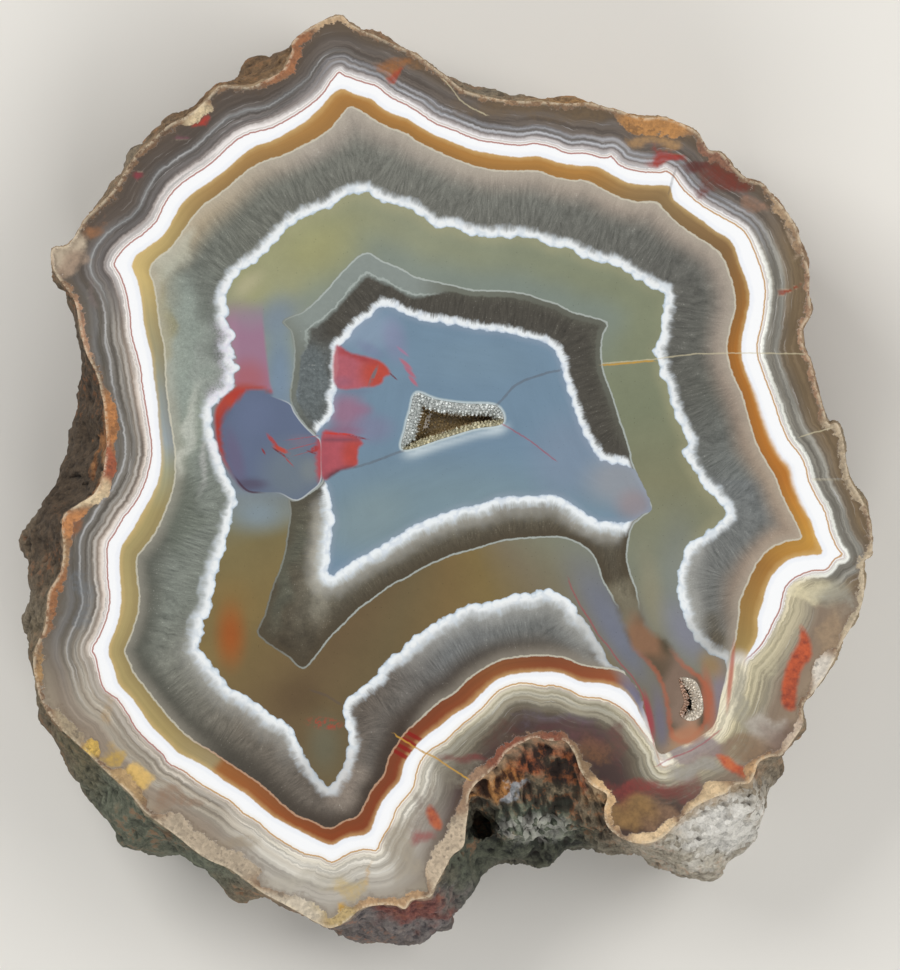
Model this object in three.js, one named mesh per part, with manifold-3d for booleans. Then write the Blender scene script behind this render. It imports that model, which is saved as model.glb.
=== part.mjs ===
// A thick slice of a fortification agate nodule: one polished face, a sawn back,
// and the rough rind of the nodule left all the way round its edge.
// It lies on its sawn back with the polished face up. Millimetres, +Z up, +Y towards the
// pointed end of the slice. The origin is on the sawn back, below the middle of the outline.

import * as THREE from "three";
import Module from "manifold-3d";
import { mergeVertices } from "three/addons/utils/BufferGeometryUtils.js";

// Driving dimensions
const thickness = 24; // from the sawn back to the polished face
const bulgeDepth = 0.5; // share of the thickness at which the rind stands out furthest
const backTaper = 0.035; // how much the outline draws in from the bulge to the sawn back
const plainBulge = -0.6; // where the rind is cut square it steps in this far below the face
const stepsPerStation = 2; // points of the outline made from each station of the rim
const wallRows = 9; // rows of faces down the rind
const lumpHeight = 0.6; // knobs of the rind
const ledgeReach = 0.72; // how far a full ledge runs out towards the bulge
const ledgeDepth = 0.14; // depth of that ledge below the face, as a share of the thickness
const vugDepth = 7.5; // depth of the open hollow in the middle of the face
const pocketDepth = 4.5; // depth of the small pocket by the lower right edge
const floorShare = 0.5; // width of the floor of a hollow as a share of its mouth
const crustGap = 0.3; // clearance between a hollow and the crystal crust that lines it

// The rim, counter-clockwise from the top point, seen from above the polished face.
// A station is [x, y] of the edge of the polished face, then, where the rough rock
// behind stands clear of that edge, [x, y] of the rock at its widest.
// A fifth number says how far the rock first runs out as a shallow ledge, from 0 to 1.
const rim = [
  // top point and the chipped edge to its left
  [-13.5, 58.2],
  [-16.5, 57.1],
  [-19.2, 55.1],
  [-19.5, 53.6, -21.0, 54.1, 0.3],
  [-20.6, 51.4, -22.5, 53.4, 0.5],
  [-22.6, 50.2, -24.6, 52.5, 0.5],
  [-24.6, 49.3, -26.4, 51.2, 0.5],
  [-26.6, 49.4, -28.0, 50.1, 0.3],
  [-28.6, 49.3, -29.4, 49.4],
  [-30.6, 47.2, -31.4, 47.6],
  [-32.6, 45.6, -33.6, 46.4],
  [-35.0, 44.4, -35.8, 45.1],
  [-37.2, 42.3, -38.0, 42.9],
  [-38.9, 40.8, -39.7, 41.1],
  [-40.2, 38.7, -41.0, 38.9],
  [-41.9, 36.2, -42.5, 36.4],
  [-43.7, 34.3, -44.2, 34.3],
  [-45.3, 32.8],
  [-46.7, 30.4],
  [-47.7, 29.4],
  [-49.2, 29.2],
  [-49.6, 27.9],
  [-49.0, 25.9],
  [-47.7, 24.1],
  // left side, where the nodule swells out behind the face
  [-46.6, 22.4, -47.3, 22.0],
  [-46.1, 20.0, -47.0, 20.0],
  [-45.7, 17.8, -46.0, 17.8],
  [-45.0, 15.6, -45.6, 15.4],
  [-43.9, 13.4, -46.2, 12.9],
  [-43.3, 11.2, -46.5, 10.4],
  [-42.9, 9.0, -46.8, 7.8],
  [-42.7, 6.6, -47.4, 5.2],
  [-42.6, 4.4, -47.9, 3.0],
  [-42.9, 2.2, -48.8, 1.0],
  [-43.2, 0.4, -50.0, -1.0],
  [-44.2, -1.6, -51.2, -3.0],
  [-46.0, -2.8, -52.2, -5.0],
  [-47.9, -4.2, -53.0, -7.0],
  [-48.2, -6.0, -53.2, -8.6],
  [-48.0, -8.6, -52.8, -11.0],
  [-48.4, -11.4, -52.6, -13.4],
  [-49.8, -13.8, -52.9, -15.4],
  [-50.1, -16.0, -53.2, -17.4],
  [-50.4, -18.4, -53.0, -19.4],
  [-51.4, -20.6, -52.5, -21.4],
  [-51.8, -22.8, -52.0, -23.2],
  [-51.4, -25.2, -51.7, -25.6],
  // lower left, a long slope of rough rind
  [-50.9, -27.2, -51.5, -28.0],
  [-49.9, -29.0, -51.0, -30.0],
  [-48.5, -30.8, -50.0, -32.4],
  [-46.8, -32.4, -48.8, -34.4],
  [-45.0, -34.0, -47.6, -36.4],
  [-43.2, -35.8, -46.2, -38.6],
  [-41.4, -37.5, -44.4, -40.6],
  [-39.6, -39.2, -43.0, -42.8],
  [-38.0, -41.2, -41.2, -45.0],
  [-36.0, -42.8, -39.4, -46.3],
  [-33.8, -44.4, -36.6, -46.8],
  [-32.0, -45.9, -33.8, -47.4],
  [-29.8, -47.4, -31.0, -48.9],
  [-27.4, -48.4, -28.8, -50.3],
  [-25.4, -49.8, -26.6, -52.0],
  [-23.4, -51.3, -24.4, -52.2],
  [-21.2, -52.5, -21.6, -52.4],
  [-18.6, -53.9],
  [-16.2, -55.3],
  // bottom point and the rock that stands out below it
  [-14.6, -55.9, -14.2, -56.0],
  [-12.6, -55.0, -12.6, -57.2],
  [-10.8, -53.5, -10.6, -58.0],
  [-8.4, -53.0, -8.2, -58.1],
  [-6.4, -53.1, -6.2, -58.2],
  [-5.3, -53.5, -4.6, -58.1],
  [-4.4, -52.4, -3.0, -57.8],
  [-2.2, -52.0, -1.6, -57.1],
  [-1.4, -50.4, 0.0, -56.4],
  [-0.4, -48.6, 0.6, -55.0],
  [0.6, -46.8, 1.8, -53.6],
  [2.0, -45.6, 3.0, -51.9],
  [2.3, -43.2, 4.2, -50.4],
  [2.6, -41.0, 5.4, -49.1],
  [2.7, -39.2, 6.4, -48.6],
  // the broken bay, where a ledge of crumbled host rock lies below the face
  [3.6, -37.8, 7.4, -48.2, 0.75],
  [5.0, -36.6, 8.4, -48.3, 0.95],
  [6.4, -35.3, 9.6, -48.6, 1],
  [7.4, -33.9, 11.0, -48.7, 1],
  [9.2, -32.8, 12.4, -48.2, 1],
  [11.0, -32.1, 13.8, -47.5, 1],
  [13.0, -32.5, 15.4, -47.1, 1],
  [14.7, -32.5, 17.0, -46.9, 1],
  [15.9, -34.2, 18.4, -46.9, 1],
  [16.6, -36.2, 19.6, -46.9, 1],
  [18.0, -38.0, 20.4, -46.9, 0.9],
  [19.9, -39.2, 21.2, -46.7, 0.7],
  [19.6, -41.0, 22.0, -46.6, 0.4],
  [19.8, -42.8, 22.8, -46.5],
  [20.9, -44.1, 23.8, -46.4],
  [22.8, -45.1, 24.8, -46.8],
  [25.0, -45.3, 25.8, -47.8],
  // lower right, where the polish runs out on a broken slope of quartz
  [26.8, -44.6, 27.2, -48.5, 0.3],
  [28.4, -43.1, 28.6, -49.3, 0.5],
  [29.6, -41.8, 30.0, -50.0, 0.6],
  [31.2, -40.6, 31.8, -50.3, 0.6],
  [33.2, -39.6, 33.6, -49.7, 0.6],
  [34.8, -39.0, 35.4, -48.0, 0.6],
  [35.8, -38.0, 37.4, -46.2, 0.6],
  [37.6, -37.8, 39.0, -44.5, 0.6],
  [38.4, -36.6, 39.6, -42.2, 0.6],
  [38.9, -35.2, 40.4, -39.6, 0.5],
  [40.2, -34.5, 40.8, -37.4, 0.3],
  [41.8, -34.2, 41.6, -35.2],
  [43.2, -32.4],
  [44.4, -30.4],
  [44.4, -28.2],
  [45.4, -26.8],
  [46.9, -24.8],
  [48.2, -22.6],
  [49.3, -20.2],
  [50.7, -17.8],
  [51.8, -15.4],
  [52.1, -12.8],
  [52.0, -10.2],
  [53.0, -9.2],
  [53.1, -7.0],
  // right side, cut square
  [52.7, -4.4],
  [51.5, -1.8],
  [50.3, 0.2],
  [49.8, 2.6],
  [49.4, 5.4],
  [48.7, 7.2],
  [47.6, 7.2],
  [46.9, 9.4],
  [46.0, 12.2],
  [45.4, 15.0],
  [44.5, 16.8],
  [44.3, 19.0],
  [45.4, 21.0],
  [45.2, 23.8],
  [45.2, 26.2],
  [44.4, 28.8],
  [43.8, 31.2],
  [42.5, 33.5],
  [40.9, 35.4],
  [39.4, 37.1],
  [37.4, 37.8],
  [35.8, 39.2],
  [34.2, 41.0],
  [32.6, 41.4],
  [31.4, 43.4],
  [29.2, 44.7],
  [26.8, 45.5],
  [24.4, 45.4],
  // top edge, with a thin skin of rind behind it
  [21.8, 46.2],
  [19.2, 46.9],
  [17.6, 47.3, 17.5, 47.3],
  [14.8, 47.2, 14.8, 47.5],
  [12.0, 47.4, 12.0, 47.8],
  [9.0, 47.5, 9.0, 48.1],
  [6.2, 47.8, 6.3, 48.5],
  [3.8, 48.3, 4.0, 49.1],
  [2.0, 48.9, 2.4, 49.8],
  [0.2, 50.3, 0.6, 50.2],
  [-2.0, 51.9],
  [-4.0, 53.4],
  [-6.4, 54.4, -6.2, 54.5],
  [-8.8, 55.6, -8.6, 55.9],
  [-10.4, 56.2, -10.2, 56.7],
  [-12.2, 57.2],
];

// Mouth of the open hollow in the middle of the face, and of the small pocket
const vugMouth = [
  [-3.9, 11.0],
  [-1.4, 10.2],
  [2.0, 9.7],
  [6.1, 9.4],
  [6.9, 7.2],
  [3.4, 6.5],
  [-0.6, 5.3],
  [-5.5, 3.9],
  [-5.3, 6.5],
  [-4.7, 8.8],
];
const pocketMouth = [
  [29.0, -24.6],
  [30.9, -24.9],
  [31.8, -26.8],
  [31.9, -29.0],
  [30.6, -30.0],
  [29.0, -29.3],
  [29.5, -27.6],
  [29.1, -26.0],
];

// Pits in the rind: where, how wide, and how deep
const pits = [
  [4.0, -42.3, 3.0, 6.0], // the hole in the corner of the broken bay
  [-47.6, -1.2, 3.2, 2.5],
  [-44.5, 6.0, 3.0, 2.0],
  [10.5, -47.0, 3.0, 2.5],
  [-43.6, -38.6, 3.0, 1.5],
];

const { sin, min, max, hypot } = Math;
const mix = (a, b, t) => a + (b - a) * t;
const smooth = (a, b, x) => {
  const t = min(1, max(0, (x - a) / (b - a)));
  return t * t * (3 - 2 * t);
};

// A repeatable bumpy field made of crossed waves, about -1 to 1, for a point in millimetres
const waves = [
  [0.61, 0.23, 0.37, 0.0],
  [-0.29, 0.55, -0.43, 1.3],
  [0.17, -0.71, 0.31, 2.9],
  [0.93, 0.41, -0.59, 4.1],
  [-0.77, 0.83, 0.67, 5.2],
  [0.37, 1.19, -0.21, 0.7],
];
function lumps(x, y, z) {
  let sum = 0;
  for (const [a, b, c, phase] of waves)
    sum += sin(a * x + b * y + c * z + phase);
  return sum / 3;
}

// A smooth closed curve through the points, with the same number of steps at each point
function closedCurve(points, steps) {
  const curve = new THREE.CatmullRomCurve3(
    points.map(([x, y]) => new THREE.Vector3(x, y, 0)),
    true,
    "catmullrom",
    0.5,
  );
  const count = points.length * steps;
  return Array.from({ length: count }, (_, i) => {
    const p = curve.getPoint(i / count);
    return [p.x, p.y];
  });
}

// Outward direction at each point of a closed counter-clockwise outline
function outward(outline) {
  const n = outline.length;
  return outline.map((_, i) => {
    const before = outline[(i + n - 1) % n];
    const after = outline[(i + 1) % n];
    const [dx, dy] = [after[0] - before[0], after[1] - before[1]];
    const length = hypot(dx, dy) || 1;
    return [dy / length, -dx / length];
  });
}

// A closed body from rings of equal length, listed from the top down, with flat ends.
// The ends of a hollow are fans round their middle, the ends of the stone are cut up freely.
function loft(rings, { fan = false, facet = 0 } = {}) {
  const n = rings[0].length;
  const positions = rings.flat();
  const faces = [];
  const square = (k, i) => {
    const j = (i + 1) % n;
    return [k * n + i, (k + 1) * n + i, (k + 1) * n + j, k * n + j];
  };
  for (let k = 0; k + 1 < rings.length; k++)
    for (let i = 0; i < n; i++) {
      const [a, b, c, d] = square(k, i);
      if (!facet) {
        faces.push([a, b, c], [a, c, d]);
        continue;
      }
      // a crystal point that stands in from the middle of this patch of the wall
      const middle = middleOf([a, b, c, d].map((v) => positions[v]));
      const axis = middleOf(rings[k]);
      const away = hypot(middle[0] - axis[0], middle[1] - axis[1]) || 1;
      const height = facet * (1 + 0.5 * sin(3.7 * i + 5.1 * k));
      const tip = positions.length;
      positions.push([
        middle[0] + ((axis[0] - middle[0]) / away) * height,
        middle[1] + ((axis[1] - middle[1]) / away) * height,
        middle[2] + height * 0.3,
      ]);
      faces.push([a, b, tip], [b, c, tip], [c, d, tip], [d, a, tip]);
    }
  const lid = (ring, first) => {
    if (!fan)
      return THREE.ShapeUtils.triangulateShape(
        ring.map(([x, y]) => new THREE.Vector2(x, y)),
        [],
      ).map((face) => face.map((v) => v + first));
    const middle = positions.length;
    positions.push(middleOf(ring));
    return ring.map((_, i) => [middle, first + i, first + ((i + 1) % n)]);
  };
  faces.push(...lid(rings[0], 0));
  for (const [a, b, c] of lid(rings.at(-1), (rings.length - 1) * n)) faces.push([c, b, a]);
  const geometry = new THREE.BufferGeometry();
  geometry.setAttribute("position", new THREE.Float32BufferAttribute(positions.flat(), 3));
  geometry.setIndex(faces.flat());
  return geometry;
}

function middleOf(points) {
  return points[0].map((_, axis) => points.reduce((sum, p) => sum + p[axis], 0) / points.length);
}

const wasm = await Module();
wasm.setup();

function solid(geometry) {
  const plain = geometry.clone();
  plain.deleteAttribute("normal");
  plain.deleteAttribute("uv");
  const merged = mergeVertices(plain, 1e-4);
  return new wasm.Manifold(
    new wasm.Mesh({
      numProp: 3,
      vertProperties: new Float32Array(merged.attributes.position.array),
      triVerts: new Uint32Array(merged.index.array),
    }),
  );
}

function geometryOf(body) {
  const mesh = body.getMesh();
  const geometry = new THREE.BufferGeometry();
  const corners = [];
  for (const v of mesh.triVerts)
    for (let k = 0; k < 3; k++)
      corners.push(mesh.vertProperties[v * mesh.numProp + k]);
  geometry.setAttribute("position", new THREE.Float32BufferAttribute(corners, 3));
  geometry.computeVertexNormals();
  return geometry;
}

// The stone: rings from the edge of the polished face down to the sawn back
function stoneRings() {
  const square = outward(rim);
  const faceEdge = closedCurve(rim, stepsPerStation);
  const bulge = closedCurve(
    rim.map(([x, y, bulgeX, bulgeY], i) =>
      bulgeX === undefined
        ? [x + square[i][0] * plainBulge, y + square[i][1] * plainBulge]
        : [bulgeX, bulgeY],
    ),
    stepsPerStation,
  );
  const ledges = closedCurve(
    rim.map((station) => [station[4] ?? 0, 0]),
    stepsPerStation,
  ).map(([share]) => min(1, max(0, share)));
  return Array.from({ length: wallRows + 1 }, (_, k) => {
    const depth = k / wallRows;
    const z = thickness * (1 - depth);
    const slope = smooth(0, bulgeDepth, depth);
    const onLedge = mix(
      ledgeReach * smooth(0, ledgeDepth, depth),
      1,
      smooth(ledgeDepth, bulgeDepth, depth),
    );
    const drawIn = 1 - backTaper * smooth(bulgeDepth, 1, depth);
    const ring = faceEdge.map(([x, y], i) => {
      const out = mix(slope, onLedge, ledges[i]);
      return [mix(x, bulge[i][0], out) * drawIn, mix(y, bulge[i][1], out) * drawIn];
    });
    const normal = outward(ring);
    const rough = lumpHeight * min(1, 5 * depth, 0.4 + 5 * (1 - depth));
    return ring.map(([x, y], i) => {
      const push = rough * lumps(x, y, z);
      return [x + normal[i][0] * push, y + normal[i][1] * push, z - sunk(x, y, z)];
    });
  });
}

// How far a point of the rind is sunk by the pits, none at the face and the back
function sunk(x, y, z) {
  const free = min(1, (thickness - z) / 2) * smooth(0, 8, z);
  return pits.reduce((sum, [px, py, radius, drop]) => {
    const near = max(0, 1 - ((x - px) ** 2 + (y - py) ** 2) / radius ** 2);
    return sum + drop * free * near * near;
  }, 0);
}

// A funnel-shaped hollow below a mouth outline, shrinking towards its floor
function funnel(mouth, depth, grow, lowerShare, rows, above) {
  const outline = closedCurve(mouth, 3);
  const normal = outward(ccw(outline));
  const cx = outline.reduce((s, p) => s + p[0], 0) / outline.length;
  const cy = outline.reduce((s, p) => s + p[1], 0) / outline.length;
  const points = ccw(outline);
  return Array.from({ length: rows + 1 }, (_, k) => {
    const share = k / rows;
    const scale = mix(1, lowerShare, share * share);
    return points.map(([x, y], i) => [
      cx + (x + normal[i][0] * grow - cx) * scale,
      cy + (y + normal[i][1] * grow - cy) * scale,
      thickness + above - (depth + above) * share,
    ]);
  });
}

function ccw(outline) {
  const area = outline.reduce((s, [x, y], i) => {
    const [u, v] = outline[(i + 1) % outline.length];
    return s + x * v - u * y;
  }, 0);
  return area > 0 ? outline : [...outline].reverse();
}

// The crust of small quartz crystals that lines a hollow: a thin cup, its inside made of
// small points, grown together as one body
function crystalCrust({ mouth, depth, wall, rows, point }) {
  const outside = funnel(mouth, depth - crustGap, -crustGap, floorShare, rows, -0.25);
  const inside = funnel(mouth, depth - crustGap - wall, -crustGap - wall, floorShare, rows, 0.5);
  return solid(loft(outside, { fan: true })).subtract(
    solid(loft(inside, { fan: true, facet: point })),
  );
}

const vug = { mouth: vugMouth, depth: vugDepth, wall: 0.4, rows: 6, point: 0.4 };
const pocket = { mouth: pocketMouth, depth: pocketDepth, wall: 0.3, rows: 4, point: 0.25 };

let stone = solid(loft(stoneRings()));
for (const { mouth, depth, rows } of [vug, pocket])
  stone = stone.subtract(
    solid(loft(funnel(mouth, depth, 0, floorShare, rows, 0.6), { fan: true })),
  );

const agate = new THREE.MeshStandardMaterial({ color: 0x8a8a78, roughness: 0.15, metalness: 0 });
const quartz = new THREE.MeshStandardMaterial({ color: 0xd8d2bd, roughness: 0.25, metalness: 0 });

function named(name, geometry, material) {
  const mesh = new THREE.Mesh(geometry, material);
  mesh.name = name;
  return mesh;
}

const slice = new THREE.Group();
slice.add(
  named("agate_slice", geometryOf(stone), agate),
  named("centre_vug_crystals", geometryOf(crystalCrust(vug)), quartz),
  named("small_pocket_crystals", geometryOf(crystalCrust(pocket)), quartz),
);

export default slice;
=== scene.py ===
import math

import bmesh
import bpy
import numpy as np
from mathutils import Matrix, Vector, noise
from mathutils.geometry import delaunay_2d_cdt
from mathutils.kdtree import KDTree


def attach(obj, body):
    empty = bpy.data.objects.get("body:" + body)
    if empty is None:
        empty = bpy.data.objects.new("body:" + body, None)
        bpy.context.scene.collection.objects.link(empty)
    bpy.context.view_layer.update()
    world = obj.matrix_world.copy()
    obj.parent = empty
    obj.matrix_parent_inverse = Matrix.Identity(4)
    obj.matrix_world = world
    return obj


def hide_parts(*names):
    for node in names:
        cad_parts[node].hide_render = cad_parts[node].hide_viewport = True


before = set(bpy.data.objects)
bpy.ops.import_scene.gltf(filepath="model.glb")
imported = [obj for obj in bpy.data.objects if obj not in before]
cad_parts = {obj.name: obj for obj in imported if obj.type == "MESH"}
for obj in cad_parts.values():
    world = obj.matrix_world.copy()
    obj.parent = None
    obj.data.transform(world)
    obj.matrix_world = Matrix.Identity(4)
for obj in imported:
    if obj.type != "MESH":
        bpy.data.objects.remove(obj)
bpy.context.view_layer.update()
mm = 0.001

# the camera looks straight down on the polished face
view = {
    "lens": 400,
    "sensor": 36,
    "seen": (112.5, 121.25),  # width and height of the picture on the polished face
    "middle": (0.31, -0.5),
    "floor": (232, 230, 225),
}

slab = {
    "thickness": 24,
    "bulgeDepth": 0.5,
    "backTaper": 0.035,
    "plainBulge": -0.6,
    "ledgeReach": 0.72,
    "ledgeDepth": 0.14,
    "lumpHeight": 0.6,
    "crumbHeight": 0.55,  # fine relief of the rind, on top of the lumps
    "bayMiddle": (11, -38),  # the rock is crumpled in the bay of the lower side
    "baySize": (13, 9),
    "foldHeight": 1.7,
    "stepsPerStation": 5,
    "faceGrid": 0.5,  # spacing of the points on the polished face
    "backGrid": 1.3,
    "mouthSteps": 6,
    "hollowFloor": 0.5,
}

rim = [
    # top point and the chipped edge to its left
    (-13.5, 58.2), (-16.5, 57.1), (-19.2, 55.1), (-19.5, 53.6, -21, 54.1, 0.3),
    (-20.6, 51.4, -22.5, 53.4, 0.5), (-22.6, 50.2, -24.6, 52.5, 0.5), (-24.6, 49.3, -26.4, 51.2, 0.5),
    (-26.6, 49.4, -28, 50.1, 0.3), (-28.6, 49.3, -29.4, 49.4), (-30.6, 47.2, -31.4, 47.6),
    (-32.6, 45.6, -33.6, 46.4), (-35, 44.4, -35.8, 45.1), (-37.2, 42.3, -38, 42.9),
    (-38.9, 40.8, -39.7, 41.1), (-40.2, 38.7, -41, 38.9), (-41.9, 36.2, -42.5, 36.4),
    (-43.7, 34.3, -44.2, 34.3), (-45.3, 32.8), (-46.7, 30.4), (-47.7, 29.4), (-49.2, 29.2), (-49.6, 27.9),
    (-49, 25.9), (-47.7, 24.1),
    # left side, where the nodule swells out behind the face
    (-46.6, 22.4, -47.3, 22), (-46.1, 20, -47, 20), (-45.7, 17.8, -46, 17.8), (-45, 15.6, -45.6, 15.4),
    (-43.9, 13.4, -46.2, 12.9), (-43.3, 11.2, -46.5, 10.4), (-42.9, 9, -46.8, 7.8),
    (-42.7, 6.6, -47.4, 5.2), (-42.6, 4.4, -47.9, 3), (-42.9, 2.2, -48.8, 1), (-43.2, 0.4, -50, -1),
    (-44.2, -1.6, -51.2, -3), (-46, -2.8, -52.2, -5), (-47.9, -4.2, -53, -7), (-48.2, -6, -53.2, -8.6),
    (-48, -8.6, -52.8, -11), (-48.4, -11.4, -52.6, -13.4), (-49.8, -13.8, -52.9, -15.4),
    (-50.1, -16, -53.2, -17.4), (-50.4, -18.4, -53, -19.4), (-51.4, -20.6, -52.5, -21.4),
    (-51.8, -22.8, -52, -23.2), (-51.4, -25.2, -51.7, -25.6),
    # lower left, a long slope of rough rind
    (-50.9, -27.2, -51.5, -28), (-49.9, -29, -51, -30), (-48.5, -30.8, -50, -32.4),
    (-46.8, -32.4, -48.8, -34.4), (-45, -34, -47.6, -36.4), (-43.2, -35.8, -46.2, -38.6),
    (-41.4, -37.5, -44.4, -40.6), (-39.6, -39.2, -43, -42.8), (-38, -41.2, -41.2, -45),
    (-36, -42.8, -39.4, -46.3), (-33.8, -44.4, -36.6, -46.8), (-32, -45.9, -33.8, -47.4),
    (-29.8, -47.4, -31, -48.9), (-27.4, -48.4, -28.8, -50.3), (-25.4, -49.8, -26.6, -52),
    (-23.4, -51.3, -24.4, -52.2), (-21.2, -52.5, -21.6, -52.4), (-18.6, -53.9), (-16.2, -55.3),
    # bottom point and the rock that stands out below it
    (-14.6, -55.9, -14.2, -56), (-12.6, -55, -12.6, -57.2), (-10.8, -53.5, -10.6, -58),
    (-8.4, -53, -8.2, -58.1), (-6.4, -53.1, -6.2, -58.2), (-5.3, -53.5, -4.6, -58.1),
    (-4.4, -52.4, -3, -57.8), (-2.2, -52, -1.6, -57.1), (-1.4, -50.4, 0, -56.4), (-0.4, -48.6, 0.6, -55),
    (0.6, -46.8, 1.8, -53.6), (2, -45.6, 3, -51.9), (2.3, -43.2, 4.2, -50.4), (2.6, -41, 5.4, -49.1),
    (2.7, -39.2, 6.4, -48.6),
    # the broken bay, where a ledge of crumbled host rock lies below the face
    (3.6, -37.8, 7.4, -48.2, 0.75), (5, -36.6, 8.4, -48.3, 0.95), (6.4, -35.3, 9.6, -48.6, 1),
    (7.4, -33.9, 11, -48.7, 1), (9.2, -32.8, 12.4, -48.2, 1), (11, -32.1, 13.8, -47.5, 1),
    (13, -32.5, 15.4, -47.1, 1), (14.7, -32.5, 17, -46.9, 1), (15.9, -34.2, 18.4, -46.9, 1),
    (16.6, -36.2, 19.6, -46.9, 1), (18, -38, 20.4, -46.9, 0.9), (19.9, -39.2, 21.2, -46.7, 0.7),
    (19.6, -41, 22, -46.6, 0.4), (19.8, -42.8, 22.8, -46.5), (20.9, -44.1, 23.8, -46.4),
    (22.8, -45.1, 24.8, -46.8), (25, -45.3, 25.8, -47.8),
    # lower right, where the polish runs out on a broken slope of quartz
    (26.8, -44.6, 27.2, -48.5, 0.3), (28.4, -43.1, 28.6, -49.3, 0.5), (29.6, -41.8, 30, -50, 0.6),
    (31.2, -40.6, 31.8, -50.3, 0.6), (33.2, -39.6, 33.6, -49.7, 0.6), (34.8, -39, 35.4, -48, 0.6),
    (35.8, -38, 37.4, -46.2, 0.6), (37.6, -37.8, 39, -44.5, 0.6), (38.4, -36.6, 39.6, -42.2, 0.6),
    (38.9, -35.2, 40.4, -39.6, 0.5), (40.2, -34.5, 40.8, -37.4, 0.3), (41.8, -34.2, 41.6, -35.2),
    (43.2, -32.4), (44.4, -30.4), (44.4, -28.2), (45.4, -26.8), (46.9, -24.8), (48.2, -22.6),
    (49.3, -20.2), (50.7, -17.8), (51.8, -15.4), (52.1, -12.8), (52, -10.2), (53, -9.2), (53.1, -7),
    # right side, cut square
    (52.7, -4.4), (51.5, -1.8), (50.3, 0.2), (49.8, 2.6), (49.4, 5.4), (48.7, 7.2), (47.6, 7.2),
    (46.9, 9.4), (46, 12.2), (45.4, 15), (44.5, 16.8), (44.3, 19), (45.4, 21), (45.2, 23.8), (45.2, 26.2),
    (44.4, 28.8), (43.8, 31.2), (42.5, 33.5), (40.9, 35.4), (39.4, 37.1), (37.4, 37.8), (35.8, 39.2),
    (34.2, 41), (32.6, 41.4), (31.4, 43.4), (29.2, 44.7), (26.8, 45.5), (24.4, 45.4),
    # top edge, with a thin skin of rind behind it
    (21.8, 46.2), (19.2, 46.9), (17.6, 47.3, 17.5, 47.3), (14.8, 47.2, 14.8, 47.5), (12, 47.4, 12, 47.8),
    (9, 47.5, 9, 48.1), (6.2, 47.8, 6.3, 48.5), (3.8, 48.3, 4, 49.1), (2, 48.9, 2.4, 49.8),
    (0.2, 50.3, 0.6, 50.2), (-2, 51.9), (-4, 53.4), (-6.4, 54.4, -6.2, 54.5), (-8.8, 55.6, -8.6, 55.9),
    (-10.4, 56.2, -10.2, 56.7), (-12.2, 57.2),
]

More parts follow.
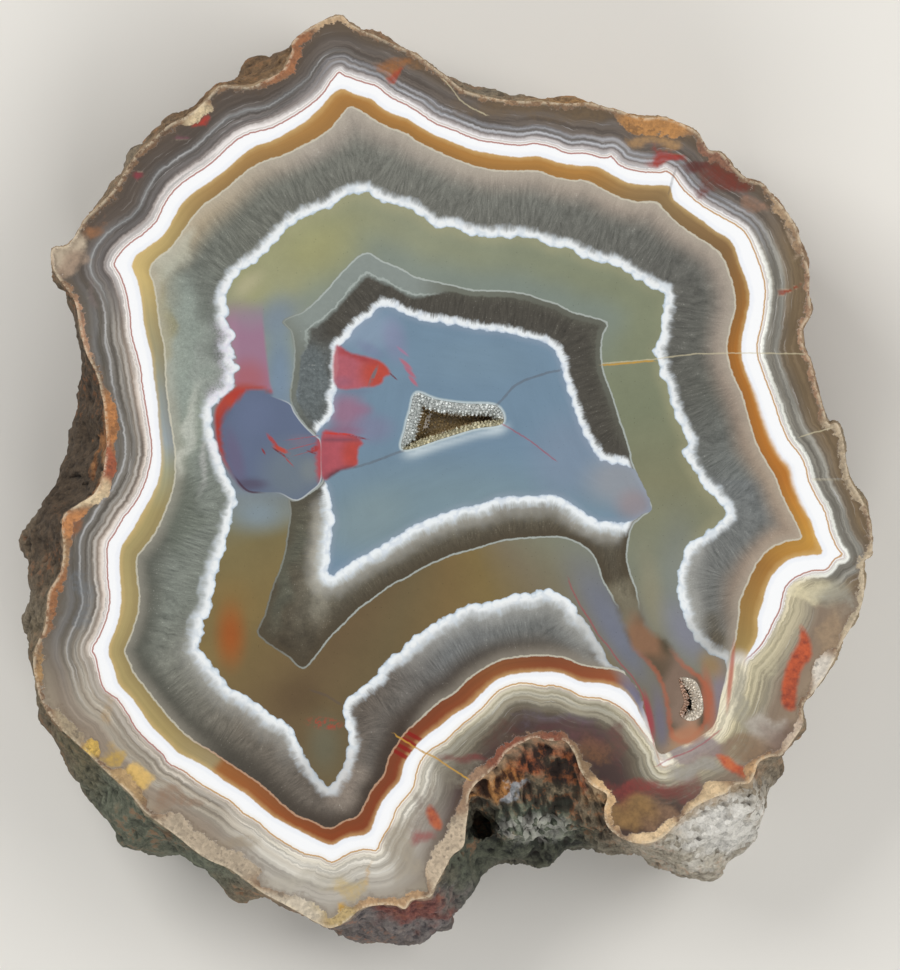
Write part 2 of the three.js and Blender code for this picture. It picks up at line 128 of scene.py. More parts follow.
bands = {
    "redLine": [
        (-13.6, 51.5), (-14.6, 50.6), (-16, 48.6), (-18, 46.9), (-19.8, 45.8), (-22, 44.6), (-25, 43.8),
        (-26.8, 42.8), (-28.5, 41.3), (-30, 39.9), (-31.8, 38.7), (-33.5, 37.5), (-35, 36), (-35.9, 34.5),
        (-36.7, 32.8), (-38.2, 31.3), (-40, 30), (-41.5, 28.4), (-42.1, 26.9), (-41.2, 25.4),
        (-40.5, 23.2), (-40.1, 20.5), (-39.9, 18.2), (-39.3, 16), (-38.8, 14), (-38.5, 11.5), (-38, 8.5),
        (-37.6, 6), (-37.4, 3.5), (-37.8, 1.2), (-38.5, -0.8), (-39.6, -2.8), (-41, -4.6), (-42, -6.4),
        (-42.9, -8), (-42.9, -12), (-42.6, -14.8), (-43, -17), (-43.7, -19), (-44.7, -21), (-44.2, -22.2),
        (-43.6, -24.5), (-42.9, -26.2), (-41.2, -27.4), (-40, -29.2), (-38.8, -31.2), (-37.2, -32.8),
        (-35.6, -34.3), (-35, -35.3), (-33, -36.3), (-31.5, -37.5), (-29, -39), (-27, -40.2),
        (-25.5, -41.6), (-23.8, -42.6), (-22, -44.2), (-20, -45.5), (-18, -46.6), (-16, -47),
        (-14.4, -47.7), (-12.5, -46.7), (-10.5, -46.1), (-8.8, -46.2), (-8.2, -44.8), (-7, -42.8),
        (-6.3, -41), (-4.7, -39), (-4.1, -38), (-3.8, -36.3), (-3.2, -34.9), (-2.2, -33.7), (-0.2, -32.5),
        (1.4, -30.9), (3, -29.6), (4.4, -28.4), (6, -26.6), (7.6, -25.7), (9.6, -25.3), (12, -25.7),
        (13, -25.6), (15, -26.1), (16.8, -27), (19, -27.2), (20.8, -27.9), (22.4, -29), (23.8, -30.6),
        (25, -32.2), (26, -33.6), (26.9, -35.8), (29.5, -34.6), (32.5, -33.2), (34.4, -31.5),
        (35.2, -29.5), (36.2, -27.6), (36.9, -25.2), (37.5, -22.8), (38.6, -21.8), (40, -20), (41, -18),
        (42, -16), (42.4, -14), (43.4, -12.6), (45.4, -11.7), (47.6, -11.4), (48.8, -10), (49.9, -9.5),
        (48.8, -7.6), (48.1, -5.8), (47.6, -3.8), (46.6, -2), (45.6, 0), (45.1, 2), (44.2, 3.8),
        (42.9, 5.4), (42, 7.6), (41.2, 10), (40.4, 12.2), (39.5, 14.6), (39.1, 16.8), (39.6, 19.2),
        (40, 21.8), (40.1, 24.2), (39.6, 26.6), (38.8, 28.8), (37.9, 30.7), (36.8, 32), (35, 33.1),
        (33, 34.2), (31.2, 35.4), (29.6, 37), (28.6, 38.4), (27.2, 39.3), (26.6, 39), (23.6, 39.2),
        (21.8, 39.8), (20.6, 41), (19.4, 40.8), (17.2, 41.4), (15.2, 41.4), (13, 42.2), (11, 42.6),
        (9, 42.4), (7, 42.6), (3.8, 43.1), (1, 44.2), (-1.4, 45.1), (-3.6, 46.6), (-5, 47.4), (-7, 48.4),
        (-8.6, 49.7), (-10.2, 50.2), (-12.5, 51),
    ],
    "ochreOuter": [
        (-13, 49), (-14.4, 48.4), (-16, 46.6), (-18, 44.8), (-20, 43.6), (-22, 42.5), (-24, 41.9),
        (-25.6, 40.8), (-27.6, 39), (-29.6, 37.5), (-31.8, 36), (-33.4, 34.4), (-34.5, 32.4),
        (-35.6, 30.7), (-37.4, 29.3), (-38.8, 28.3), (-39.5, 26.9), (-38.9, 25.4), (-38.3, 22.8),
        (-38, 20), (-37.5, 17.5), (-37, 15.5), (-36.7, 12.8), (-36.3, 10), (-36.1, 7), (-35.8, 3.2),
        (-36.1, 0.4), (-37, -1.8), (-38.1, -3.8), (-39.2, -5.8), (-40.8, -8.4), (-41, -11),
        (-40.8, -14.5), (-41.2, -17.6), (-42.4, -21), (-41.7, -23.4), (-41.1, -25.4), (-39.6, -27),
        (-38.3, -28.8), (-36.8, -30.9), (-35, -32.6), (-33.6, -34), (-31.6, -35), (-29.6, -36.2),
        (-27.6, -37.7), (-25.4, -39), (-23.6, -40.5), (-22, -41.8), (-20, -43), (-18, -44),
        (-16.2, -44.9), (-14.4, -45.5), (-12.6, -44.6), (-9.9, -44), (-9, -42), (-8.1, -40),
        (-6.6, -38.2), (-5.9, -37.4), (-5.4, -35.4), (-4.3, -33.6), (-2.8, -32), (-0.9, -30.6),
        (0.8, -29.2), (2.8, -28), (4.4, -26.4), (6, -25), (8, -24.2), (11, -23.9), (14, -24),
        (16.8, -25.1), (19.4, -25.3), (21.6, -26), (23, -27.2), (23.9, -28.8), (24.8, -30.6),
        (25.6, -32.4), (26.6, -35), (29, -34), (32, -32.6), (33.8, -31), (34.8, -29), (35.8, -27.4),
        (36.4, -25), (37.3, -22.2), (38.1, -20.8), (38.8, -19.2), (38.8, -17.2), (39.4, -15.2),
        (39.9, -13.2), (41, -11.3), (42.8, -9.8), (45, -9.3), (46.9, -9), (46.1, -7), (45.4, -5),
        (44.2, -2.8), (43.2, -0.4), (42.8, 1.6), (41.6, 3), (40.5, 5), (39.7, 7), (39, 9), (38.4, 11),
        (37.6, 13), (36.8, 15.5), (36.9, 18.2), (37.4, 20.6), (37.8, 22.8), (37.4, 25), (36.6, 27),
        (35.9, 29.2), (35, 30.4), (33.6, 31.2), (31.8, 32.6), (29.8, 34), (28.3, 35.2), (27.8, 36.8),
        (26.8, 37), (25, 37), (22.6, 37.3), (20.8, 38.2), (19, 39.2), (17.8, 39.4), (16.4, 39.4),
        (14, 39.8), (11.4, 40.6), (8.8, 40.5), (5, 41), (2.8, 41.5), (0.8, 42.3), (-1.4, 43.2),
        (-3.6, 44.4), (-5, 45.3), (-6.8, 45.9), (-8.4, 46.8), (-9.6, 47.8), (-11.4, 48.3),
    ],
    "ochreInner": [
        (-12.3, 46.8), (-13.6, 45.3), (-15, 43.8), (-17, 42.5), (-19, 41.5), (-21, 40.6), (-23, 40),
        (-25, 38.9), (-27, 37.2), (-29, 35.6), (-30.8, 34.3), (-32.2, 32.6), (-33.4, 30.8), (-34.8, 29),
        (-36.4, 27.8), (-37.3, 26.4), (-36.8, 24.6), (-36.4, 22.2), (-36, 19), (-35.5, 17), (-35.3, 13),
        (-34.9, 9), (-34.3, 5), (-34.1, 2), (-34.4, -1), (-35.3, -3.6), (-36.6, -6.4), (-38.2, -8.6),
        (-38.9, -9.6), (-38.8, -12.4), (-38.6, -14), (-38.8, -16.6), (-39.7, -19.4), (-40.4, -21.2),
        (-39.7, -23), (-39.3, -24), (-37.9, -25.8), (-36.3, -27.9), (-34.7, -29.8), (-33.1, -31.5),
        (-31.2, -32.9), (-29.2, -34.1), (-27, -35.6), (-25, -36.9), (-23, -38.4), (-21, -40.2),
        (-19, -41.8), (-17, -42.6), (-14.8, -43.5), (-12.8, -42.6), (-11.2, -42), (-10.2, -40.4),
        (-9.2, -38.4), (-7.9, -36.8), (-7.3, -34.8), (-6.2, -32.9), (-4.8, -31.1), (-3, -29.5),
        (-1.2, -27.8), (0.8, -26.6), (2.8, -24.7), (4.8, -23.4), (6.8, -22.4), (9.4, -22), (12.6, -21.9),
        (15, -22.3), (17, -23.1), (19, -23.4), (21.2, -23.7), (22.8, -24.6), (24, -26.4), (24.8, -28.6),
        (25.4, -30.8), (26, -33), (26.8, -34.6), (29, -33.6), (31.6, -32.4), (33.4, -31), (34.4, -29.4),
        (35.1, -27.8), (35, -25), (35.4, -22), (36, -20), (36.4, -17.6), (36.6, -15.2), (37, -14),
        (37.8, -12.2), (38.8, -10.2), (40.4, -8.5), (42.4, -7.6), (44.2, -7.2), (43.9, -5.8),
        (42.9, -3.8), (41.8, -1.6), (41.1, 0.4), (40.2, 1.9), (39.1, 3.8), (38.2, 6), (37.5, 8.6),
        (36.8, 11), (35.6, 13.6), (35, 16.5), (35.4, 19.2), (36, 21.4), (35.9, 23.8), (35.2, 26.2),
        (34.3, 28.2), (33, 29.4), (31, 30.7), (29, 32.1), (27.2, 33.8), (26, 34.9), (23.4, 35),
        (21, 35.7), (19.2, 36.7), (17.2, 37.6), (15.8, 37.6), (13.2, 38.1), (11.4, 38.8), (9, 38.8),
        (6, 38.9), (3.4, 39.4), (1.2, 40.2), (-1.2, 41.2), (-3.6, 42.4), (-5.4, 43.6), (-7, 44.1),
        (-9, 45.1), (-10.6, 46.2),
    ],
    "oliveEdge": [
        (-10.4, 36.1), (-12.8, 35.5), (-14.8, 34.2), (-17, 33.4), (-19, 32.4), (-20.8, 30.8),
        (-22.2, 29.2), (-24, 27.5), (-25.8, 26.2), (-27.2, 24.4), (-27.8, 22.4), (-27.3, 21),
        (-27.8, 20.3), (-26.5, 18.2), (-27.1, 16.9), (-26.5, 15.6), (-26.9, 15), (-26.1, 14.1),
        (-26.8, 13), (-26.8, 11.5), (-28.4, 10.3), (-29.5, 8.8), (-29.3, 6), (-28.5, 3.4), (-27.5, 0.6),
        (-26.2, -2.3), (-26.8, -3.8), (-27.4, -6.4), (-27.9, -8.6), (-28.6, -10.6), (-29.2, -13.2),
        (-29.7, -16.2), (-30.6, -17.6), (-30.7, -19.3), (-31, -20.8), (-30, -22.3), (-28.6, -24),
        (-27.2, -25.7), (-25.2, -26.8), (-23.4, -28), (-21.8, -29.5), (-20.4, -30.1), (-19.2, -31.2),
        (-18.6, -32.8), (-17.8, -34.6), (-16.6, -36.2), (-14.9, -38.2), (-13.2, -36), (-12.6, -34),
        (-12.3, -32.2), (-12.8, -30.2), (-13.2, -28.4), (-12.2, -27), (-10.6, -25.6), (-9, -24.4),
        (-8, -22.8), (-6, -21.3), (-4.6, -19.9), (-3, -18.7), (-1, -17.4), (1, -16.3), (2.6, -15.4),
        (4.6, -15.4), (6.6, -14.8), (8.6, -14.2), (10.6, -14.1), (12.2, -13.5), (13.6, -14),
        (15.3, -14.9), (16.4, -16.6), (17.8, -18.2), (19, -20.3), (20.4, -22.8), (21.6, -23.6),
        (23, -25.2), (24.2, -27.2), (24.9, -29.6), (25.6, -32), (26.6, -34.2), (28.8, -33.3),
        (31.2, -32.2), (33.4, -30.4), (34.2, -27), (34.9, -23), (33, -21.6), (31.4, -20.2), (30.4, -18.8),
        (29.6, -17), (29.1, -15), (28.7, -13.2), (28.8, -11.4), (29.4, -9.4), (30.2, -7.9), (32, -6.6),
        (33.6, -5.4), (34.9, -4), (33.4, -2), (32, -0.6), (31, 0.8), (30.2, 2.2), (29.5, 3.6), (30, 5),
        (29.2, 6.6), (28.4, 8.2), (27.8, 10.2), (27.4, 11.8), (26.6, 13.3), (26.4, 14.9), (25.8, 16.3),
        (26.6, 17.8), (26.7, 19.6), (27, 21.6), (27.2, 23.4), (25.8, 24), (24.2, 25), (22.6, 26),
        (21, 27), (19, 27.4), (17, 28), (15, 29.2), (13, 29.1), (12.4, 29.6), (10.4, 30.3), (8.4, 30.5),
        (6.2, 30.5), (4.2, 30.6), (2.2, 31), (0.4, 31.8), (-1.6, 31.8), (-3.2, 33.1), (-4.8, 34),
        (-6.8, 34.5), (-8.6, 35.2),
    ],
    "darkEdge": [
        (-10.2, 28.6), (-12.6, 26.8), (-14.4, 24.8), (-16, 23), (-18, 21.3), (-20.6, 20), (-19.6, 18.6),
        (-19.2, 16.5), (-19.3, 14), (-19.6, 12), (-19.7, 10), (-18.8, 8.2), (-17.6, 6.6), (-16.6, 5.6),
        (-15.6, 2.8), (-15.6, 0.2), (-17, -1.3), (-19, -2.4), (-20, -2.2), (-19.7, -4), (-20.1, -7),
        (-20.4, -9), (-21, -11), (-21.9, -13.2), (-22.4, -15), (-23, -17), (-23.8, -19), (-22, -20.7),
        (-20, -22), (-18, -23.5), (-16, -21.4), (-14.6, -19.6), (-12.8, -17.8), (-11, -16), (-9, -14.6),
        (-7, -13.1), (-5, -12.1), (-3, -10.9), (-1, -10), (1, -9.2), (3, -8.7), (5, -8.1), (7, -7.5),
        (9, -7.3), (12, -7.1), (14, -7.1), (16, -7.7), (17.8, -8.9), (18.8, -10.8), (19.4, -12.6),
        (21, -15.4), (22, -18), (23, -20.6), (25, -22.6), (26.6, -25), (27.4, -28), (28, -31.8),
        (30, -32.6), (32.2, -30.4), (32.5, -29.2), (32.8, -26.8), (31.6, -24.6), (29.2, -22.6),
        (27.4, -20), (25.4, -18.8), (24.5, -17.4), (24, -15.4), (23.6, -13.4), (22.9, -11.4),
        (22.5, -9.4), (22.7, -7.4), (23.2, -5.6), (24.4, -4.5), (25.6, -3.3), (24.9, -1.8), (24, 0.2),
        (23.2, 2.2), (22.8, 4), (22.2, 6), (21.5, 8), (20.9, 10), (20.2, 12), (19.5, 14), (19.3, 16),
        (19.5, 18.2), (20.1, 19.8), (18, 20.6), (15.6, 21.2), (13.8, 22.2), (12, 22.7), (10, 23.4),
        (7.6, 23.8), (5.2, 23.9), (2.8, 24), (0.4, 24.6), (-2, 25.1), (-4, 25.6), (-6, 26.7), (-8, 27.5),
    ],
    "coreEdge": [
        (-16.6, 5.6), (-15.4, 7), (-14.3, 8.6), (-14.2, 10.4), (-13.8, 12), (-13.7, 15), (-13.6, 16.8),
        (-12.4, 18), (-11.2, 19.5), (-9.6, 20.6), (-8.4, 21.7), (-7.8, 22), (-6.4, 21.4), (-4.6, 20.6),
        (-2.4, 20), (0, 19.7), (2.4, 19.2), (4.8, 18.8), (7.2, 18.6), (9.4, 18), (11.8, 17.4),
        (13.4, 16.4), (14.2, 14.6), (14.6, 12.6), (15.3, 10.6), (15.9, 8.8), (16.6, 6.8), (17.6, 4.8),
        (18.8, 3.2), (20, 2.4), (22.2, 2.1), (23.4, 1.4), (24.6, -0.8), (25.6, -3.3), (24.2, -4.4),
        (22.6, -5.2), (20.6, -5.1), (18.8, -4.9), (17.2, -4.1), (15.6, -2.9), (13.4, -1.8), (10.4, -1.9),
        (7.4, -1.9), (5.6, -2.3), (4, -3), (2, -3.2), (0.2, -3.9), (-1.8, -4.6), (-3.6, -5.3),
        (-5.4, -6.3), (-7.4, -7.6), (-9.4, -8.7), (-11.4, -9.8), (-13, -10.9), (-14.8, -11.9),
        (-14.8, -10), (-14.6, -8), (-14.4, -6), (-14.1, -5.2), (-14.4, -3.4), (-14.9, -1), (-15.6, 0.2),
        (-16.1, 2.8),
    ],
}

patches = {
    "blueLobe": [
        (-22.1, 10.6), (-23.3, 11), (-24.9, 10.9), (-25.8, 9.9), (-26.7, 9), (-27.5, 8), (-27.9, 6.6),
        (-27.8, 4.8), (-27.4, 2.8), (-26.7, 0.9), (-25.1, -1.1), (-23.2, -1.4), (-21, -1.5), (-18.9, -2.4),
        (-17, -1.2), (-15.9, 0), (-15.8, 2.4), (-15.9, 5), (-16.8, 5.8), (-18.1, 7.1), (-19.2, 8.6),
        (-19.8, 9.7),
    ],
    "pinkZone": [
        (-27.2, 10), (-22.1, 10.4), (-22.2, 12.6), (-22.6, 16), (-23, 20), (-23.4, 24), (-28, 24),
        (-29, 18),
        (-28.6, 12),
    ],
    "redRing": [
        (-22.1, 10.6), (-23, 11.2), (-25.2, 11.7), (-26.8, 11.4), (-28.2, 10.5), (-29.2, 8.8), (-29.2, 6.4),
        (-28.9, 4.4), (-28.3, 2.8), (-27.4, 1), (-26, -0.9), (-24.9, -1.5), (-23.6, -1.3), (-24.6, 0.6),
        (-25.8, 2.6), (-26.4, 6), (-25.2, 8.6), (-23.6, 9.8),
    ],
    "redWedge": [
        (-14, 16.9), (-12.2, 16.1), (-9.8, 15.5), (-8.2, 14.9), (-7, 13.5), (-7.8, 13), (-8.2, 12.2),
        (-8.8, 11.9),
        (-9.9, 11.7), (-14, 11.8),
    ],
    "redBlock": [
        (-15.7, 6), (-13.6, 6), (-11.3, 5.6), (-10.5, 4.7), (-11.1, 4.1), (-11.2, 3), (-11.3, 1.9),
        (-13.4, 1.2),
        (-15.7, 0.3),
    ],
    "orangeLens": [
        (44.2, -18), (45.3, -19.8), (45.5, -22), (44.4, -23.4), (43.8, -25.4), (43.4, -28.6),
        (41.9, -28.2), (41.7, -26.2), (42.2, -23.6), (43, -21.6), (43.9, -20),
    ],
    "orangeChip": [
        (33.6, -34.3), (35, -34.4), (36.6, -35.6), (38, -35.8), (37.6, -37.3), (36, -36.6), (34.6, -35.8),
    ],
    "orangeTriangle": [
        (-2.3, -40.4), (-1.6, -41), (-0.7, -42.7), (-1, -43.7), (-2.1, -43), (-2.7, -41.4),
    ],
}

# mouths of the open hollow and of the small pocket
hollows = {
    "vug": {
        "mouth": [
            (-3.9, 11), (-1.4, 10.2), (2, 9.7), (6.1, 9.4), (6.9, 7.2), (3.4, 6.5), (-0.6, 5.3),
            (-5.5, 3.9), (-5.3, 6.5), (-4.7, 8.8),
        ],
        "depth": 7.5, "rows": 14,
    },
    "pocket": {
        "mouth": [
            (29, -24.6), (30.9, -24.9), (31.8, -26.8), (31.9, -29), (30.6, -30), (29, -29.3),
            (29.5, -27.6), (29.1, -26),
        ],
        "depth": 4.5, "rows": 9,
    },
}

# pits sunk into the rind: where, how wide, how deep
pits = [
    (4, -42.3, 3, 6), (-47.6, -1.2, 3.2, 2.5), (-44.5, 6, 3, 2), (10.5, -47, 3, 2.5),
    (-43.6, -38.6, 3, 1.5),
]

waves = [
    (0.61, 0.23, 0.37, 0), (-0.29, 0.55, -0.43, 1.3), (0.17, -0.71, 0.31, 2.9),
    (0.93, 0.41, -0.59, 4.1), (-0.77, 0.83, 0.67, 5.2), (0.37, 1.19, -0.21, 0.7),
]


def smooth(low, high, x):
    t = np.clip((x - low) / (high - low), 0, 1)
    return t * t * (3 - 2 * t)


def lumps(x, y, z):
    return sum(np.sin(a * x + b * y + c * z + phase) for a, b, c, phase in waves) / 3


# a smooth closed curve through the points, the same number of steps at each
def closedCurve(points, steps):
    p = np.array(points, float)
    before, after, second = np.roll(p, 1, 0), np.roll(p, -1, 0), np.roll(p, -2, 0)
    rows = []
    for k in range(steps):
        t = k / steps
        rows.append(
            0.5
            * (
                2 * p
                + (after - before) * t
                + (2 * before - 5 * p + 4 * after - second) * t**2
                + (3 * p - before - 3 * after + second) * t**3
            )
        )
    return np.stack(rows, 1).reshape(-1, p.shape[1])


def outward(ring):
    step = np.roll(ring, -1, 0) - np.roll(ring, 1, 0)
    length = np.maximum(np.hypot(step[:, 0], step[:, 1]), 1e-9)
    return np.stack([step[:, 1] / length, -step[:, 0] / length], 1)


def turnedLeft(ring):
    x, y = ring[:, 0], ring[:, 1]
    area = np.sum(x * np.roll(y, -1) - np.roll(x, -1) * y)
    return ring if area > 0 else ring[::-1]


# For each point: how far along the outline its nearest spot lies, zero, and the distance to it, which
# is positive inside the outline. The length along is counted both ways from one spot, so that it has
# no jump. The outline runs either way round; its points lie close together.
def nearest(points, outline):
    line = turnedLeft(np.array(outline, float))
    tree = KDTree(len(line))
    for i, (x, y) in enumerate(line):
        tree.insert((x, y, 0), i)
    tree.balance()
    close = np.array([tree.find((x, y, 0))[1] for x, y in points])
    step = np.roll(line, -1, 0) - line
    length = np.maximum(np.hypot(*step.T), 1e-9)
    passed = np.concatenate([[0], np.cumsum(length)[:-1]])
    square = np.column_stack([step[:, 1], -step[:, 0]]) / length[:, None]
    best = np.full(len(points), 1e9)
    along = np.zeros(len(points))
    side = np.zeros(len(points))
    for k in (close - 1, close):
        t = np.clip(((points - line[k]) * step[k]).sum(1) / length[k] ** 2, 0, 1)
        away = points - line[k] - t[:, None] * step[k]
        gap = np.hypot(*away.T)
        atCorner = (t <= 0) | (t >= 1)
        facing = np.where(atCorner[:, None], square[close - 1] + square[close], square[k])
        nearer = gap < best
        best = np.where(nearer, gap, best)
        along = np.where(nearer, passed[k] + t * length[k], along)
        side = np.where(nearer, -(away * facing).sum(1), side)
    return np.column_stack([abs(along - length.sum() / 2), np.zeros(len(points)), best * np.sign(side)])


# how far the pits sink a point of the rind
def sunk(x, y, z):
    free = np.minimum(1, (slab["thickness"] - z) / 2) * smooth(0, 8, z)
    total = np.zeros_like(x)
    for px, py, radius, drop in pits:
        near = np.maximum(0, 1 - ((x - px) ** 2 + (y - py) ** 2) / radius**2)
        total += drop * free * near**2
    return total


# rings of points from the edge of the polished face down to the sawn back
def rindRings():
    stations = [list(s) + [None] * (5 - len(s)) for s in rim]
    face = np.array([s[:2] for s in stations], float)
    square = face + outward(face) * slab["plainBulge"]
    bulge = np.array([square[i] if s[2] is None else s[2:4] for i, s in enumerate(stations)], float)
    steps = slab["stepsPerStation"]
    edge, wide = closedCurve(face, steps), closedCurve(bulge, steps)
    ledge = np.clip(closedCurve([(s[4] or 0, 0) for s in stations], steps)[:, 0], 0, 1)[:, None]
    rings = []
    for depth in rowDepths:
        z = slab["thickness"] * (1 - depth)
        slope = smooth(0, slab["bulgeDepth"], depth)
        shelf = smooth(slab["ledgeDepth"], slab["bulgeDepth"], depth)
        onLedge = slab["ledgeReach"] * smooth(0, slab["ledgeDepth"], depth) * (1 - shelf) + shelf
        out = slope * (1 - ledge) + onLedge * ledge
        taper = 1 - slab["backTaper"] * smooth(slab["bulgeDepth"], 1, depth)
        ring = (edge * (1 - out) + wide * out) * taper
        rough = slab["lumpHeight"] * min(1, 5 * depth, 0.4 + 5 * (1 - depth))
        x, y = ring[:, 0], ring[:, 1]
        flat = ring + outward(ring) * (rough * lumps(x, y, z))[:, None]
        rings.append(np.column_stack([flat, z - sunk(x, y, z)]))
    return np.array(rings)


# crumbs and pits of the rock, pushed in from the smooth wall so that nothing stands out of it
def roughen(rings):
    rows, count = rings.shape[:2]
    down = np.gradient(rings, axis=0)
    along = (np.roll(rings, -1, 1) - np.roll(rings, 1, 1)) / 2
    normal = np.cross(along, -down)
    normal /= np.maximum(np.linalg.norm(normal, axis=2, keepdims=True), 1e-9)
    dips = np.zeros((rows, count))
    fromBay = (rings[..., :2] - slab["bayMiddle"]) / np.array(slab["baySize"])
    crumpled = smooth(1.3, 0.7, np.hypot(fromBay[..., 0], fromBay[..., 1]))
    for k in range(1, rows - 1):
        edge = min(1, k / 3, (rows - 1 - k) / 2)
        for i in range(count):
            p = Vector(rings[k, i])
            grain = noise.fractal(p * 0.9, 0.8, 2.1, 4)
            crack = noise.voronoi(p * 0.7)[0]
            push = 0.55 * abs(grain) + 0.6 * (crack[1] - crack[0]) * 0.4 - 0.2
            fold = abs(noise.fractal(p * 0.34, 0.7, 2.1, 3)) * crumpled[k, i] * slab["foldHeight"]
            rings[k, i] -= normal[k, i] * edge * (push * slab["crumbHeight"] * 2.2 + fold)
            dips[k, i] = push + fold * 0.5
    return rings, dips


def hollowRings(shape, steps):
    ring = turnedLeft(closedCurve(shape["mouth"], steps))
    middle = ring.mean(0)
    rings = []
    for k in range(shape["rows"] + 1):
        share = k / shape["rows"]
        scale = 1 + (slab["hollowFloor"] - 1) * share**2
        flat = middle + (ring - middle) * scale
        z = slab["thickness"] - shape["depth"] * share
        rings.append(np.column_stack([flat, np.full(len(flat), z)]))
    return np.array(rings)


# the squares between rings; the first ring is the upper one and runs counter-clockwise
def wallFaces(rows, count, first, inwards=False):
    faces = []
    for k in range(rows - 1):
        for i in range(count):
            j = (i + 1) % count
            a, b, c, d = (first + k * count + i, first + (k + 1) * count + i,
                          first + (k + 1) * count + j, first + k * count + j)
            faces.append((d, c, b, a) if inwards else (a, b, c, d))
    return faces


# a flat sheet of small triangles inside an outline, with holes; points of a grid fill it
def flatSheet(outline, holes, spacing, z, down=False):
    loops = [outline] + holes
    low, high = outline.min(0), outline.max(0)
    across = np.arange(low[0], high[0], spacing)
    up = np.arange(low[1], high[1], spacing * 0.866)
    gx, gy = np.meshgrid(across, up)
    gx[1::2] += spacing / 2
    grid = np.column_stack([gx.ravel(), gy.ravel()])
    for loop, sign in zip(loops, [1] + [-1] * len(holes)):
        grid = grid[nearest(grid, loop)[:, 2] * sign > spacing * 0.55]
    points, edges = [], []
    for loop in loops:
        first, count = len(points), len(loop)
        points += loop.tolist()
        edges += [(first + i, first + (i + 1) % count) for i in range(count)]
    points += grid.tolist()
    coords, _, faces, *_ = delaunay_2d_cdt([Vector(p) for p in points], edges, [], 1, 1e-7)
    coords = np.array([tuple(c) for c in coords])
    middles = np.array([coords[list(f)].mean(0) for f in faces])
    keep = nearest(middles, outline)[:, 2] > 0
    for hole in holes:
        keep &= nearest(middles, hole)[:, 2] < 0
    kept = [tuple(f) for f, k in zip(faces, keep) if k]
    a, b, c = (coords[[f[i] for f in kept]] for i in range(3))
    turn = (b[:, 0] - a[:, 0]) * (c[:, 1] - a[:, 1]) - (b[:, 1] - a[:, 1]) * (c[:, 0] - a[:, 0])
    kept = [f if (t > 0) != down else f[::-1] for f, t in zip(kept, turn)]
    return np.column_stack([coords, np.full(len(coords), z)]), kept


def newPiece(name, points, faces, materials=(), places=None):
    mesh = bpy.data.meshes.new(name)
    mesh.from_pydata((np.array(points) * mm).tolist(), [], faces)
    for material in materials:
        mesh.materials.append(material)
    if places is not None:
        mesh.polygons.foreach_set("material_index", places)
    piece = bpy.data.objects.new(name, mesh)
    bpy.context.collection.objects.link(piece)
    return piece

# open lines: cracks, healed seams and thin stains, by colour
seams = {
    "brownSeams": [
        [(6.1, 9.4), (7.2, 10.6), (8.2, 11.8), (9.6, 12.6), (11.2, 13.1), (12.6, 13.6), (14, 13.8)],
        [(28.5, 38.9), (28.1, 37.6), (27.7, 36)],
        [(-16.9, -26.2), (-15.2, -26.8), (-13.4, -27.9)],
        [(-5.6, 3.8), (-7.4, 3.1), (-9.6, 2.3), (-11.6, 1.7)],
    ],
    "paleSeams": [
        [(-0.6, 50.3), (0.6, 49), (1.6, 47.6), (3, 46.6), (4.8, 45.8)],
        [(19.4, 14.7), (22, 14.9), (25.8, 15.2), (28.4, 15.6), (31, 15.9), (37, 16), (44.6, 15.9)],
        [(44.2, 5.6), (46, 6.1), (47.9, 6.6)],
    ],
    "goldSeams": [
        [(-6.5, -31.8), (-3, -33.9), (-1.8, -34.4), (2.6, -37.3)],
        [(19.6, 14.5), (22, 14.7), (25.6, 15)],
    ],
    "redSeams": [
        [(6.9, 7.1), (8.6, 6.1), (10.4, 5), (12, 3.7), (13.4, 2.6)],
        [(15.1, -12.4), (15.6, -13.6), (16.6, -15.6), (17.8, -17.4), (18.8, -19.2), (20.2, -20.8),
         (21.6, -22.8),
         (23, -24.3), (24.1, -26), (24.8, -28), (25.3, -30.6), (25.8, -32.8)],
        [(26.2, -35.6), (28, -34.6), (30, -33.9), (32, -32.8), (34, -31.2)],
    ],
}


# Distance to the nearest of several open lines, with a sign for its side, so that a thin line stays
# thin between the points of the mesh; the second number is 1 beside a line and 0 away from it.
def gapToLines(spots, lines):
    gap = np.full(len(spots), 9.0)
    side = np.ones(len(spots))
    past = np.zeros(len(spots))
    for line in lines:
        for k, (start, end) in enumerate(zip(np.array(line[:-1], float), np.array(line[1:], float))):
            step = end - start
            t = ((spots - start) @ step) / (step @ step)
            away = spots - start - np.clip(t, 0, 1)[:, None] * step
            near = np.hypot(*away.T)
            better = near < gap
            gap = np.where(better, near, gap)
            side = np.where(better, np.sign(step[0] * away[:, 1] - step[1] * away[:, 0]), side)
            open_ = (t < 0) if k == 0 else (t > 1) if k == len(line) - 2 else np.zeros(len(t), bool)
            past = np.where(better, open_ * near, past)
    beside = smooth(1.6, 0.9, gap) * smooth(0.7, 0.05, past)
    return np.column_stack([gap * side, beside, np.zeros(len(spots))])


def hue(colour):
    return tuple(((c / 255 + 0.055) / 1.055) ** 2.4 if c > 10 else c / 255 / 12.92 for c in colour) + (1,)


